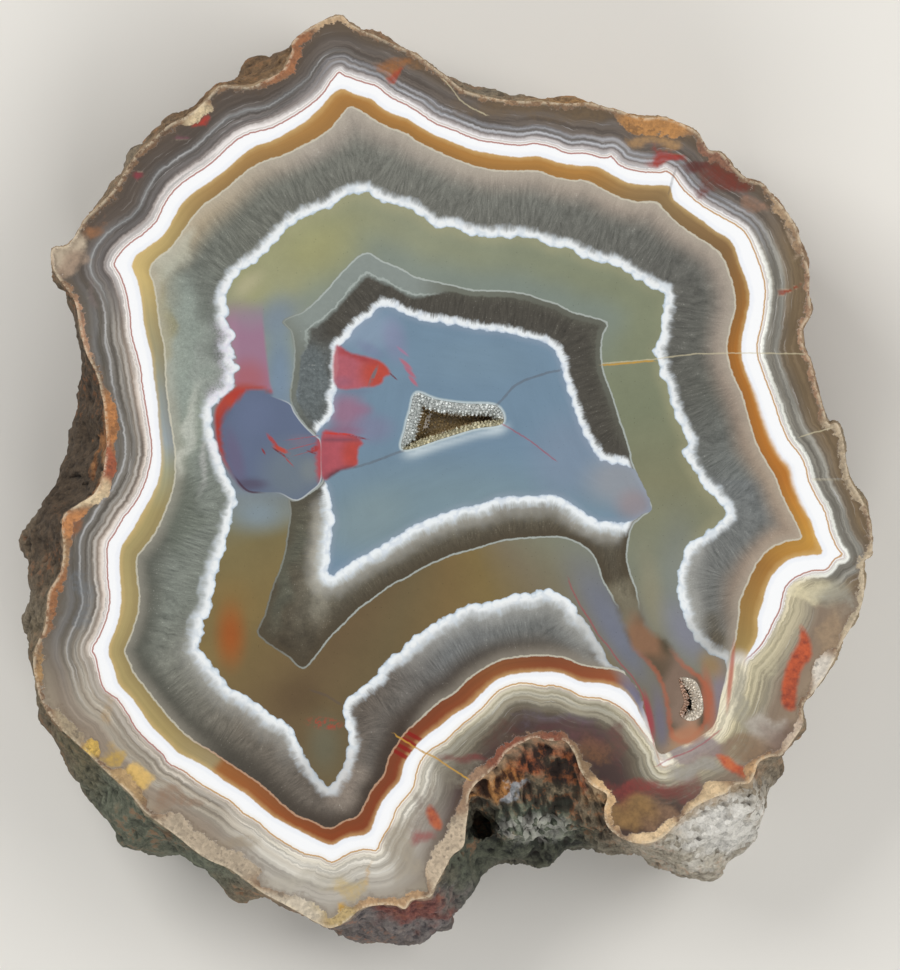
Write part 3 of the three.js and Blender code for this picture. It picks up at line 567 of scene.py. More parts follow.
# a number that varies over the surface; sums and products of it become Math nodes
class Amount:
    def __init__(self, paint, socket):
        self.paint, self.socket = paint, socket

    def work(self, operation, *others):
        return self.paint.maths(operation, self, *others)

    def __add__(self, other):
        return self.work("ADD", other)

    def __mul__(self, other):
        return self.work("MULTIPLY", other)

    def __sub__(self, other):
        return self.work("SUBTRACT", other)

    def __rsub__(self, other):
        return self.paint.maths("SUBTRACT", other, self)

    def __truediv__(self, other):
        return self.work("DIVIDE", other)

    def __neg__(self):
        return self * -1

    def __abs__(self):
        return self.work("ABSOLUTE")

    __radd__, __rmul__ = __add__, __mul__

    # 0 below low, 1 above high, smooth between; low above high turns it round
    def ease(self, low, high):
        return self.paint.eased(self, low, high)

    def least(self, other):
        return self.work("MINIMUM", other)


class Paint:
    def __init__(self, name):
        self.material = bpy.data.materials.new(name)
        self.material.use_nodes = True
        self.tree = self.material.node_tree
        self.tree.nodes.clear()
        self.out = self.tree.nodes.new("ShaderNodeOutputMaterial")
        self.surface = self.tree.nodes.new("ShaderNodeBsdfPrincipled")
        self.tree.links.new(self.surface.outputs[0], self.out.inputs["Surface"])
        here = self.add("ShaderNodeTexCoord").outputs["Object"]
        self.place = self.moved(here, scale=(1000, 1000, 1000))
        self.colour = None
        self.laying = True

    def add(self, kind, inputs=None, **settings):
        node = self.tree.nodes.new(kind)
        for key, value in settings.items():
            setattr(node, key, value)
        for key, value in (inputs or {}).items():
            value = value.socket if isinstance(value, Amount) else value
            if isinstance(value, bpy.types.NodeSocket):
                self.tree.links.new(value, node.inputs[key])
            else:
                node.inputs[key].default_value = value
        return node

    def maths(self, operation, *values):
        node = self.add("ShaderNodeMath", dict(enumerate(values)), operation=operation)
        return Amount(self, node.outputs[0])

    def eased(self, value, low, high, kind="SMOOTHSTEP"):
        limits = {"Value": value, "From Min": low, "From Max": high}
        return Amount(self, self.add("ShaderNodeMapRange", limits, interpolation_type=kind).outputs[0])

    def moved(self, at, place=(0, 0, 0), turn=(0, 0, 0), scale=(1, 1, 1), kind="POINT"):
        values = {"Vector": at, "Location": place, "Rotation": turn, "Scale": scale}
        return self.add("ShaderNodeMapping", values, vector_type=kind).outputs[0]

    # 0 where a coordinate is below low, 1 above high; low above high turns it round
    def rise(self, axis, low, high):
        turn = {"x": (0, 0, 0), "y": (0, 0, -math.pi / 2), "z": (0, math.pi / 2, 0)}[axis]
        share = 1 / (high - low)
        at = self.moved(self.place, (-low * share, 0, 0), turn, (share, share, share))
        return Amount(self, self.add("ShaderNodeTexGradient", {"Vector": at}).outputs["Fac"]).ease(0, 1)

    # up to four numbers kept as one colour at the points of the mesh
    def masks(self, name):
        node = self.add("ShaderNodeAttribute", attribute_name=name)
        split = self.add("ShaderNodeSeparateColor", {0: node.outputs["Color"]}).outputs
        return [Amount(self, s) for s in (split[0], split[1], split[2], node.outputs["Alpha"])]

    # the length along a band's outline, and the distance inside it
    def band(self, name):
        along, _, gap, _ = self.masks(name)
        return along, gap

    # a colour worked out at the points of the mesh, and how much it covers
    def tone(self, name):
        node = self.add("ShaderNodeAttribute", attribute_name=name)
        return node.outputs["Color"], Amount(self, node.outputs["Alpha"])

    def seam(self, name):
        gap, beside, *_ = self.masks(name)
        return gap, beside

    def mark(self, name):
        return Amount(self, self.add("ShaderNodeAttribute", attribute_name=name).outputs["Fac"])

    def grain(self, scale, detail=2, rough=0.5, stretch=(1, 1, 1)):
        at = self.place if stretch == (1, 1, 1) else self.moved(self.place, scale=stretch)
        values = {"Vector": at, "Scale": scale, "Detail": detail, "Roughness": rough}
        return Amount(self, self.add("ShaderNodeTexNoise", values).outputs[0])

    # noise that changes fast with one amount and slowly over the surface, as fibres and growth layers do
    def fibres(self, amount, slow, detail=2, rough=0.5):
        at = self.moved(self.place, scale=(slow, slow, slow))
        values = {"Vector": at, "W": amount, "Scale": 1, "Detail": detail, "Roughness": rough}
        return Amount(self, self.add("ShaderNodeTexNoise", values, noise_dimensions="4D").outputs[0])

    def cells(self, scale, feature="F1"):
        node = self.add("ShaderNodeTexVoronoi", {"Vector": self.place, "Scale": scale}, feature=feature)
        return Amount(self, node.outputs["Distance"]), node.outputs["Color"]

    # colours at stops along an amount
    def stripes(self, value, stops, kind="LINEAR"):
        low, high = stops[0][0], stops[-1][0]
        ramp = self.add("ShaderNodeValToRGB", {0: self.eased(value, low, high, "LINEAR")})
        ramp.color_ramp.interpolation = kind
        marks = ramp.color_ramp.elements
        while len(marks) < len(stops):
            marks.new(0.5)
        for mark, (at, colour) in zip(marks, stops):
            mark.position = (at - low) / (high - low)
        for mark, (at, colour) in zip(marks, stops):
            mark.color = hue(colour)
        return ramp.outputs[0]

    def mix(self, share, under, over, mode="MIX"):
        under, over = (hue(c) if isinstance(c, tuple) and len(c) == 3 else c for c in (under, over))
        node = self.add("ShaderNodeMix", {0: share, 6: under, 7: over}, data_type="RGBA", blend_type=mode)
        return node.outputs[2]

    # lays a colour over what is there, while the paint is laying
    def lay(self, share, colour, mode="MIX"):
        if self.laying:
            self.colour = self.mix(share, self.colour, colour, mode)

    # darkens and lightens what is there; 1 leaves it as it is
    def shade(self, amount):
        grey = self.add("ShaderNodeCombineColor", {0: amount, 1: amount, 2: amount}).outputs[0]
        self.lay(1.0, grey, "MULTIPLY")

    # a soft oval: 1 in its middle, 0 outside; at is its middle, size its two half widths
    def spot(self, at, size, soft=0.6, turn=0, wander=None):
        reach = 1 + soft * 0.5
        moved = self.moved(
            wander or self.place, (at[0], at[1], 0), (0, 0, math.radians(turn)),
            (size[0] * reach, size[1] * reach, 1e6), "TEXTURE",
        )
        near = self.add("ShaderNodeTexGradient", {"Vector": moved}, gradient_type="SPHERICAL").outputs["Fac"]
        return Amount(self, near).ease(0, 1 - (1 - soft) / reach)

# stains of the outer chalcedony: middle, half widths, colour, share
stains = [
    ((-7.4, 52), (2.2, 1.4), (158, 104, 58), 0.7), ((-4, 51.4), (1.4, 1.6), (150, 108, 66), 0.5),
    ((-6.4, 50.6), (1, 0.6), (168, 66, 38), 0.75), ((12, 47), (12, 2), (110, 92, 70), 0.7),
    ((26, 42.6), (4.4, 1.2), (170, 134, 92), 0.75), ((27.4, 40.6), (2.8, 0.8), (158, 48, 36), 0.95),
    ((34.8, 37.4), (4.4, 2.2), (112, 48, 36), 0.85), ((30.5, 38.8), (2.6, 1.2), (92, 44, 40), 0.8),
    ((38.4, 34.4), (2.2, 1.1), (150, 116, 96), 0.6), ((42.9, 24.1), (1.2, 0.4), (150, 62, 38), 1),
    ((43, 29.6), (0.7, 1.8), (200, 178, 154), 0.85), ((-31, 44.6), (1.4, 0.6), (176, 58, 46), 0.75),
    ((-33.4, 42.6), (1.2, 0.6), (130, 80, 96), 0.6), ((-39, 38.2), (0.9, 0.7), (132, 56, 66), 0.85),
    ((-44.4, 31), (2.4, 1.4), (150, 106, 74), 0.75), ((-47.8, 28.8), (2.8, 2), (196, 180, 158), 1),
    ((-46.8, 26.8), (2.4, 1.4), (168, 146, 126), 0.8), ((-44.6, 22.6), (1, 2), (120, 108, 104), 0.6),
    ((-41.4, -34.2), (2, 1.1), (190, 156, 74), 0.75), ((-38.8, -36.8), (2.3, 1.1), (222, 184, 106), 0.95),
    ((-33.8, -40.2), (4, 1.8), (140, 112, 90), 0.6), ((-42.6, -28.6), (1.6, 3), (176, 144, 96), 0.45),
    ((-27, -44.6), (5, 1.6), (152, 138, 118), 0.6), ((-17.6, -50), (7, 1.6), (176, 170, 156), 0.5),
    ((-12, -51.4), (2.6, 1.4), (190, 164, 104), 0.6), ((-13.4, -53.8), (1.5, 1), (206, 160, 58), 0.95),
    ((-10, -49.4), (0.5, 2), (196, 160, 110), 0.6), ((-42, 4), (0.7, 5), (140, 72, 44), 0.7),
    ((-46.6, -4.6), (1.1, 2.2), (150, 94, 54), 0.8), ((-45.4, -14.6), (1.6, 4), (110, 116, 122), 0.5),
    ((-5.4, -45.6), (3, 5.4), (156, 146, 130), 0.75), ((-2.8, -40.6), (2, 3), (128, 116, 106), 0.6),
    ((-2.9, -44.4), (0.9, 1.6), (146, 80, 78), 0.7), ((1.6, -36.2), (3.6, 3), (126, 120, 106), 0.6),
    ((9.4, -31.6), (6.4, 1.3), (84, 52, 46), 0.5), ((2.2, -34.6), (4, 0.9), (112, 46, 46), 0.55),
    ((16.6, -31.4), (5, 2.2), (86, 60, 66), 0.6), ((13.4, -29.6), (5.4, 1), (100, 92, 104), 0.4),
    ((17.6, -33.4), (2.6, 2.4), (132, 92, 60), 0.5), ((21.4, -33), (1.6, 3.4), (104, 66, 62), 0.5),
    ((24.4, -38.6), (4.6, 2.2), (128, 58, 54), 0.75), ((29.4, -38.6), (3, 1.6), (112, 62, 58), 0.6),
    ((22.4, -41.6), (3.6, 2), (146, 114, 72), 0.8), ((27.6, -42), (3, 1.6), (142, 112, 88), 0.7),
    ((31, -36), (4, 1.8), (150, 146, 140), 0.85), ((31.6, -33.8), (5, 1), (136, 116, 116), 0.9),
    ((29.6, -33.2), (4.4, 1.3), (140, 128, 130), 0.95),
    ((36.6, -26.6), (1.4, 5), (150, 146, 132), 0.7), ((39.4, -31), (2.6, 2.2), (172, 164, 154), 0.9),
    ((42, -32.4), (3, 2.6), (118, 98, 88), 0.85), ((37.4, -33.2), (3.4, 1.6), (132, 108, 84), 0.7),
    ((45, -13.8), (3.4, 1.6), (216, 206, 172), 0.75), ((48.4, -14), (2.2, 3), (150, 148, 136), 0.6),
    ((47.8, -19.4), (2.4, 3.4), (158, 136, 110), 0.7), ((39.6, -22), (1.6, 4.6), (190, 182, 154), 0.5),
    ((42.4, -13.6), (1.6, 1.6), (222, 214, 184), 0.8),
]

# broken crust along the rim: middle, half widths, colour, width in millimetres
rimCrusts = [
    ((-38, 40), (12, 12), (112, 84, 58), 0.7), ((-31, 45.6), (2.6, 1.1), (206, 186, 150), 1.5),
    ((-47.6, 29), (3, 3), (196, 178, 156), 0.2), ((-46, 20), (3, 5), (176, 134, 104), 0.7),
    ((-42.4, 6.6), (2.2, 4), (176, 116, 62), 1.6), ((-42.6, 1.6), (2, 3), (150, 78, 46), 1.6),
    ((-44, -1.8), (2.2, 1.6), (208, 186, 150), 1.5),
    ((-47, -4.8), (2.4, 2.4), (182, 122, 70), 1.6), ((-48.6, -9), (2, 3), (156, 122, 84), 0.9),
    ((-49, -15), (2.6, 4), (146, 96, 56), 1.3),
    ((-49.6, -22.6), (2.4, 3), (158, 124, 80), 1), ((-46.4, -29.4), (3, 4), (158, 142, 116), 1.4),
    ((-44.4, -33.4), (1.3, 0.8), (214, 176, 84), 1.8), ((-41, -37.6), (3.4, 2.6), (172, 142, 98), 1.7),
    ((-30, -46), (10, 6), (172, 156, 134), 2.2), ((-19, -53.6), (6, 3), (196, 184, 164), 1.8),
    ((-13, -54.6), (4, 2.4), (182, 158, 108), 1.4), ((-7, -53.4), (4, 2.6), (176, 142, 104), 1.2),
    ((0.6, -47), (4.6, 7), (186, 168, 144), 2.4), ((3.6, -39), (2.6, 3), (150, 118, 92), 1.4),
    ((9, -34), (6.4, 3), (126, 66, 40), 1.1), ((17.6, -35), (3, 3.6), (130, 104, 74), 1.1),
    ((20.6, -40), (2.4, 3.4), (206, 170, 124), 0.9), ((26, -44.4), (4, 2), (214, 186, 146), 1.5),
    ((33.6, -40.6), (3.4, 2.4), (204, 178, 140), 2.6), ((39.4, -37), (2.4, 2.8), (206, 164, 116), 2.4),
    ((44.2, -32.6), (3, 3.6), (190, 170, 150), 0.8), ((47.6, -26), (3, 5.4), (206, 198, 186), 2.2),
    ((51, -14), (3, 8), (176, 160, 134), 0.7), ((49.6, 2), (4, 9), (168, 150, 124), 0.7),
    ((45.6, 18), (4, 10), (150, 116, 88), 0.6), ((41.4, 33), (3.4, 4), (158, 132, 102), 1),
    ((34.4, 40), (5, 2.4), (130, 88, 66), 1.1), ((26, 45), (5, 3.6), (178, 126, 68), 2.2),
    ((12, 49.6), (8, 3), (176, 138, 96), 0.9), ((0, 53), (6, 3.6), (132, 104, 78), 0.7),
    ((-13.6, 58), (4, 4), (190, 160, 124), 0.7), ((-20.6, 54), (5, 4), (150, 96, 58), 1.3),
]

# washes inside the bands: middle, half widths, turn in degrees, colour, share
quartzWashes = [
    ((-33, 16), (3.6, 11), 0, (148, 158, 150), 0.85), ((-34.4, 28), (1.5, 4.6), -38, (182, 184, 170), 0.7),
    ((-35.8, 18), (0.9, 8), 0, (146, 140, 106), 0.6), ((-30, 12), (1.4, 8), 0, (150, 156, 150), 0.6),
    ((-32.4, 6), (2.4, 5), -16, (146, 154, 142), 0.6), ((-32.6, 6), (0.8, 7), -14, (194, 197, 188), 0.7),
    ((-30.4, 3), (0.5, 5), -10, (190, 190, 188), 0.6), ((-33, -4), (2.6, 5), 0, (100, 106, 96), 0.6),
    ((-13, -37.4), (3, 5), 0, (150, 138, 126), 0.7), ((19.2, -23), (3, 1.6), -30, (70, 62, 54), 0.8),
    ((33, -19.6), (2.4, 2.6), 0, (84, 76, 62), 0.8),
]
oliveWashes = [
    ((-15.4, 28.6), (6, 4), 20, (160, 158, 112), 0.7), ((-20.6, 25.2), (3, 3), 35, (154, 155, 122), 0.6),
    ((-25, 24.6), (2.6, 1.2), 40, (190, 182, 152), 0.5), ((-22, 20.2),
    (4.6, 2.6), 25, (124, 134, 142), 0.9),
    ((-21, 13), (2.4, 9), 0, (117, 137, 158), 0.95), ((-23.6, -4), (4.4, 2.6), 0, (128, 142, 150), 1),
    ((-18.6, -3.6), (2, 1.6), 0, (128, 138, 142), 0.6), ((-26, 20), (2.4, 2.4), 0, (146, 130, 146), 0.5),
    ((-27, -15), (3, 3), 0, (136, 108, 62), 0.5), ((-27.1, -19.3), (1.9, 4), 0, (158, 84, 34), 0.9),
    ((-15.4, -33), (2.4, 4), 0, (106, 104, 86), 0.8), ((-19, -27), (3.4, 2.6), 0, (88, 70, 48), 0.45),
    ((29, -13), (3, 9), 0, (124, 130, 126), 0.8), ((20, -15.4), (3.4, 8), 36, (112, 116, 128), 0.85),
    ((21.6, -20), (1.8, 7.6), 32, (112, 117, 134), 0.85), ((25.6, -14), (1.6, 6), 10, (146, 140, 116), 0.6),
    ((30, -19), (2.6, 5), 30, (128, 130, 144), 0.9), ((31.6, -30), (5, 4), 0, (146, 120, 104), 0.85),
    ((34, -26), (1.2, 5), 0, (132, 122, 134), 0.85), ((26.6, -30), (1.1, 5), 6, (112, 108, 124), 0.9),
    ((29.6, -33), (4, 1.2), 20, (168, 138, 112), 0.8), ((33, -23), (1.4, 2), 40, (150, 122, 84), 0.8),
]
darkWashes = [
    ((-20.4, -11), (2, 9), -14, (96, 100, 88), 0.6), ((-16, -10), (1.5, 7), 0, (146, 142, 128), 0.8),
    ((-16.8, 12.6), (3.2, 6.6), 0, (100, 108, 110), 0.95), ((-19, 12), (0.9, 8), 0, (124, 136, 146), 0.6),
    ((22.6, -16), (2.4, 3.6), 20, (122, 116, 98), 0.9), ((24.6, -20), (2.2, 3.6), 40, (146, 108, 82), 0.85),
    ((28.4, -25), (3.6, 3), 50, (126, 106, 92), 1), ((30, -29), (2.6, 3.6), 0, (132, 112, 98), 1),
    ((29.4, -32), (2.6, 1.6), 0, (178, 136, 108), 1),
]
coreWashes = [
    ((0, -4), (20, 7), 0, (120, 142, 152), 0.9), ((15, 3), (5, 6), 0, (124, 140, 160), 0.7),
    ((21.4, 0), (4.6, 3.6), 0, (148, 150, 156), 0.8), ((23.4, -3), (2.6, 2.2), 0, (150, 134, 136), 0.7),
    ((-10, -5), (6, 4), 30, (128, 146, 150), 0.6), ((-9.6, 18.6), (4, 2.6), 20, (140, 158, 180), 0.7),
    ((-6.6, 17.6), (1.6, 3), 10, (136, 134, 166), 0.5), ((-12.6, 8.6), (2.6, 2.6), 0, (152, 112, 136), 0.9),
    ((-10.6, 8.9), (1.4, 0.8), 0, (148, 108, 134), 0.6), ((-9.6, 6.6), (3, 2), 0, (126, 122, 150), 0.6),
    ((-11.2, 11.2), (1.8, 0.5), 0, (112, 128, 150), 0.9), ((-13, 6.2), (2.6, 0.8), 0, (144, 96, 122), 0.6),
    ((-9.6, 16.4), (2, 0.8), -30, (120, 130, 160), 0.6), ((4, 15), (7, 3), 0, (118, 142, 160), 0.5),
]

# colours of the islands: which island, then middle, half widths, turn, colour, share
islandWashes = {
    "pinkZone": ((156, 116, 142), [
        ((-25, 12.4), (3, 3), 0, (170, 92, 104), 0.85), ((-24.6, 21), (3, 2.4), 0, (150, 130, 146), 0.8),
        ((-26.8, 17), (0.8, 5), 0, (168, 130, 152), 0.5),
    ]),
    "redRing": ((172, 60, 50), [
        ((-25.4, 12.6), (5, 0.9), 0, (166, 84, 90), 0.8), ((-28, 9.4), (1.6, 1.6), 40, (184, 74, 54), 0.8),
        ((-27, 5), (1, 5), 12, (138, 62, 78), 0.7), ((-26, -0.4), (1.6, 1.6), 0, (110, 60, 80), 0.8),
    ]),
    "blueLobe": ((96, 108, 134), [
        ((-19.4, 1), (4.4, 4.4), 0, (108, 120, 132), 0.95), ((-26.6, 3), (1.2, 4), 14, (104, 94, 122), 0.7),
        ((-24.6, -0.4), (2.2, 0.8), 0, (84, 78, 98), 0.8), ((-24, 8), (3, 2.6), 0, (100, 112, 140), 0.8),
        ((-18, 5), (2, 0.9), 0, (130, 112, 128), 0.5), ((-17, 1.4), (1.6, 1.8), 0, (132, 138, 136), 0.5),
    ]),
    "redWedge": ((178, 88, 98), [
        ((-8.6, 13.6), (2.4, 2.6), 0, (188, 64, 38), 1), ((-10.8, 15.4),
        (2.4, 0.5), -18, (160, 50, 46), 0.8),
        ((-12.9, 16.2), (0.9, 0.6), 0, (168, 60, 60), 0.8), ((-13.2, 12.4),
        (1.4, 0.8), 0, (160, 92, 112), 0.7),
    ]),
    "redBlock": ((176, 76, 84), [
        ((-11.8, 3.4), (1.5, 2.2), 0, (182, 60, 42), 0.95), ((-13.4, 0.9),
        (2.4, 0.7), 18, (84, 36, 46), 0.95),
        ((-13.4, 5.1), (3, 0.3), 0, (122, 62, 76), 0.7), ((-15.4, 2.4), (0.5, 2), 0, (162, 70, 82), 0.6),
    ]),
}

# colours of the outer chalcedony, by millimetres outwards from the white band
outerRings = {
    "top": [
        (0, (224, 222, 224)), (0.35, (176, 170, 170)), (0.65, (112, 106, 104)), (0.95, (172, 174, 180)),
        (1.25, (118, 112, 108)), (1.6, (150, 150, 154)), (2, (104, 96, 90)), (2.8, (96, 87, 80)),
        (3.4, (108, 100, 94)), (4.2, (98, 87, 76)), (6, (104, 88, 70)), (8, (122, 102, 78)),
    ],
    "topLeft": [
        (0, (228, 224, 222)), (0.35, (204, 198, 196)), (0.7, (152, 144, 140)), (1, (108, 101, 98)),
        (1.35, (126, 121, 119)), (1.8, (98, 92, 88)), (2.15, (112, 110, 109)), (2.3, (150, 151, 151)),
        (2.45, (118, 116, 115)), (2.7, (104, 98, 94)), (3.4, (88, 79, 72)), (5, (86, 76, 68)),
        (7, (96, 83, 72)),
        (9, (114, 94, 78)),
    ],
    "left": [
        (0, (226, 220, 214)), (0.4, (194, 182, 172)), (0.75, (128, 116, 105)), (1.1, (184, 178, 171)),
        (1.4, (116, 108, 98)), (1.8, (150, 146, 140)), (2.2, (98, 92, 84)), (2.7, (122, 119, 114)),
        (2.9, (172, 172, 172)), (3.1, (112, 108, 103)), (3.6, (96, 91, 83)), (4.2, (116, 114, 112)),
        (5, (104, 99, 92)), (7, (112, 102, 90)),
    ],
    "lowerLeft": [
        (0, (226, 222, 214)), (0.4, (180, 170, 156)), (0.9, (206, 198, 186)), (1.3, (150, 140, 126)),
        (1.8, (186, 178, 164)), (2.3, (146, 136, 122)), (3, (168, 160, 146)), (3.8, (150, 138, 124)),
        (5, (146, 132, 116)), (7, (170, 158, 138)),
    ],
    "bottom": [
        (0, (230, 226, 216)), (0.7, (206, 200, 186)), (1.3, (218, 214, 204)), (1.9, (188, 182, 170)),
        (2.6, (200, 196, 186)), (3.4, (172, 166, 156)), (4.5, (178, 172, 162)), (6, (158, 149, 136)),
        (8, (176, 166, 146)),
    ],
    "bay": [
        (0, (226, 222, 208)), (0.4, (204, 198, 178)), (0.8, (160, 153, 132)), (1.2, (188, 184, 168)),
        (1.7, (140, 133, 115)), (2.1, (148, 142, 126)), (2.8, (106, 98, 84)), (3.6, (90, 79, 68)),
        (5, (74, 58, 54)), (8, (62, 46, 44)),
    ],
    "lowerRight": [
        (0, (218, 210, 186)), (0.7, (198, 188, 158)), (1.5, (182, 173, 146)), (2.4, (166, 157, 134)),
        (3.2, (150, 142, 124)), (4.4, (134, 118, 102)), (6, (140, 122, 104)), (8, (150, 132, 112)),
    ],
    "right": [
        (0, (236, 238, 232)), (0.35, (206, 207, 200)), (0.6, (140, 137, 128)), (1.2, (118, 114, 105)),
        (1.9, (150, 148, 140)), (2.4, (120, 108, 92)), (3.4, (118, 101, 78)), (5, (116, 98, 74)),
        (7, (138, 116, 88)),
    ],
}

# from which angle round the middle each of them starts and how softly, in degrees from the right side
outerSectors = [
    ("top", 38, 6), ("topLeft", 106, 8), ("left", 152, 4), ("lowerLeft", 206, 8), ("bottom", 240, 6),
    ("bay", 268, 5), ("lowerRight", 308, 4), ("right", 345, 1.5),
]

# colours of the ochre band round the middle
ochreRound = [
    (0, (180, 115, 45)), (5, (180, 115, 45)), (24, (166, 108, 44)), (40, (134, 104, 68)),
    (52, (144, 119, 82)), (58, (154, 123, 80)), (66, (178, 130, 68)), (90, (172, 124, 64)),
    (104, (172, 124, 66)), (128, (164, 132, 84)), (138, (178, 156, 104)), (146, (208, 184, 122)),
    (151, (176, 162, 118)), (156, (156, 150, 120)), (163, (146, 152, 146)), (172, (154, 164, 168)),
    (178, (160, 160, 132)), (186, (166, 152, 104)), (200, (170, 154, 106)), (222, (166, 148, 98)),
    (230.5, (158, 142, 106)), (231.5, (156, 98, 50)), (240, (150, 88, 46)), (252, (138, 68, 32)),
    (259, (130, 62, 34)), (268, (132, 66, 36)), (284, (140, 84, 46)), (300, (134, 72, 42)),
    (310, (150, 84, 52)), (313, (150, 150, 156)), (330, (160, 136, 84)), (345, (162, 116, 56)),
    (351, (198, 148, 66)), (360, (180, 115, 45)),
]

# colours of the outer fibrous quartz round the middle: next to the ochre, and next to the white crust
quartzOuterRound = [
    (0, (156, 138, 120)), (12, (146, 130, 116)), (30, (154, 143, 132)), (60, (160, 148, 136)),
    (90, (160, 151, 140)), (112, (160, 151, 141)), (134, (172, 158, 134)), (146, (158, 152, 132)),
    (158, (144, 148, 136)), (175, (118, 122, 112)), (195, (92, 94, 86)), (215, (80, 80, 72)),
    (240, (72, 66, 58)), (258, (66, 56, 48)), (280, (70, 62, 54)), (320, (98, 92, 84)),
    (345, (150, 132, 116)), (360, (156, 138, 120)),
]
quartzInnerRound = [
    (0, (112, 116, 114)), (20, (94, 95, 89)), (40, (98, 98, 93)), (70, (110, 111, 105)),
    (100, (116, 117, 110)), (130, (110, 112, 104)), (150, (108, 114, 108)), (165, (124, 132, 126)),
    (185, (122, 128, 121)), (205, (122, 127, 119)), (230, (112, 106, 96)), (250, (100, 92, 84)),
    (270, (112, 114, 114)), (300, (112, 114, 112)), (330, (112, 112, 108)), (360, (112, 116, 116)),
]

oliveRound = [
    (0, (126, 126, 100)), (20, (122, 128, 104)), (45, (128, 134, 110)), (75, (134, 140, 118)),
    (100, (142, 146, 122)), (118, (150, 152, 118)), (136, (154, 154, 118)), (150, (136, 142, 132)),
    (170, (120, 130, 142)), (183, (120, 132, 144)), (190, (122, 120, 98)), (198, (122, 110, 74)),
    (215, (126, 108, 68)), (235, (104, 86, 60)), (250, (106, 92, 64)), (270, (120, 100, 64)),
    (290, (124, 106, 66)), (310, (120, 110, 88)), (335, (126, 130, 114)), (350, (126, 128, 106)),
    (360, (126, 126, 100)),
]


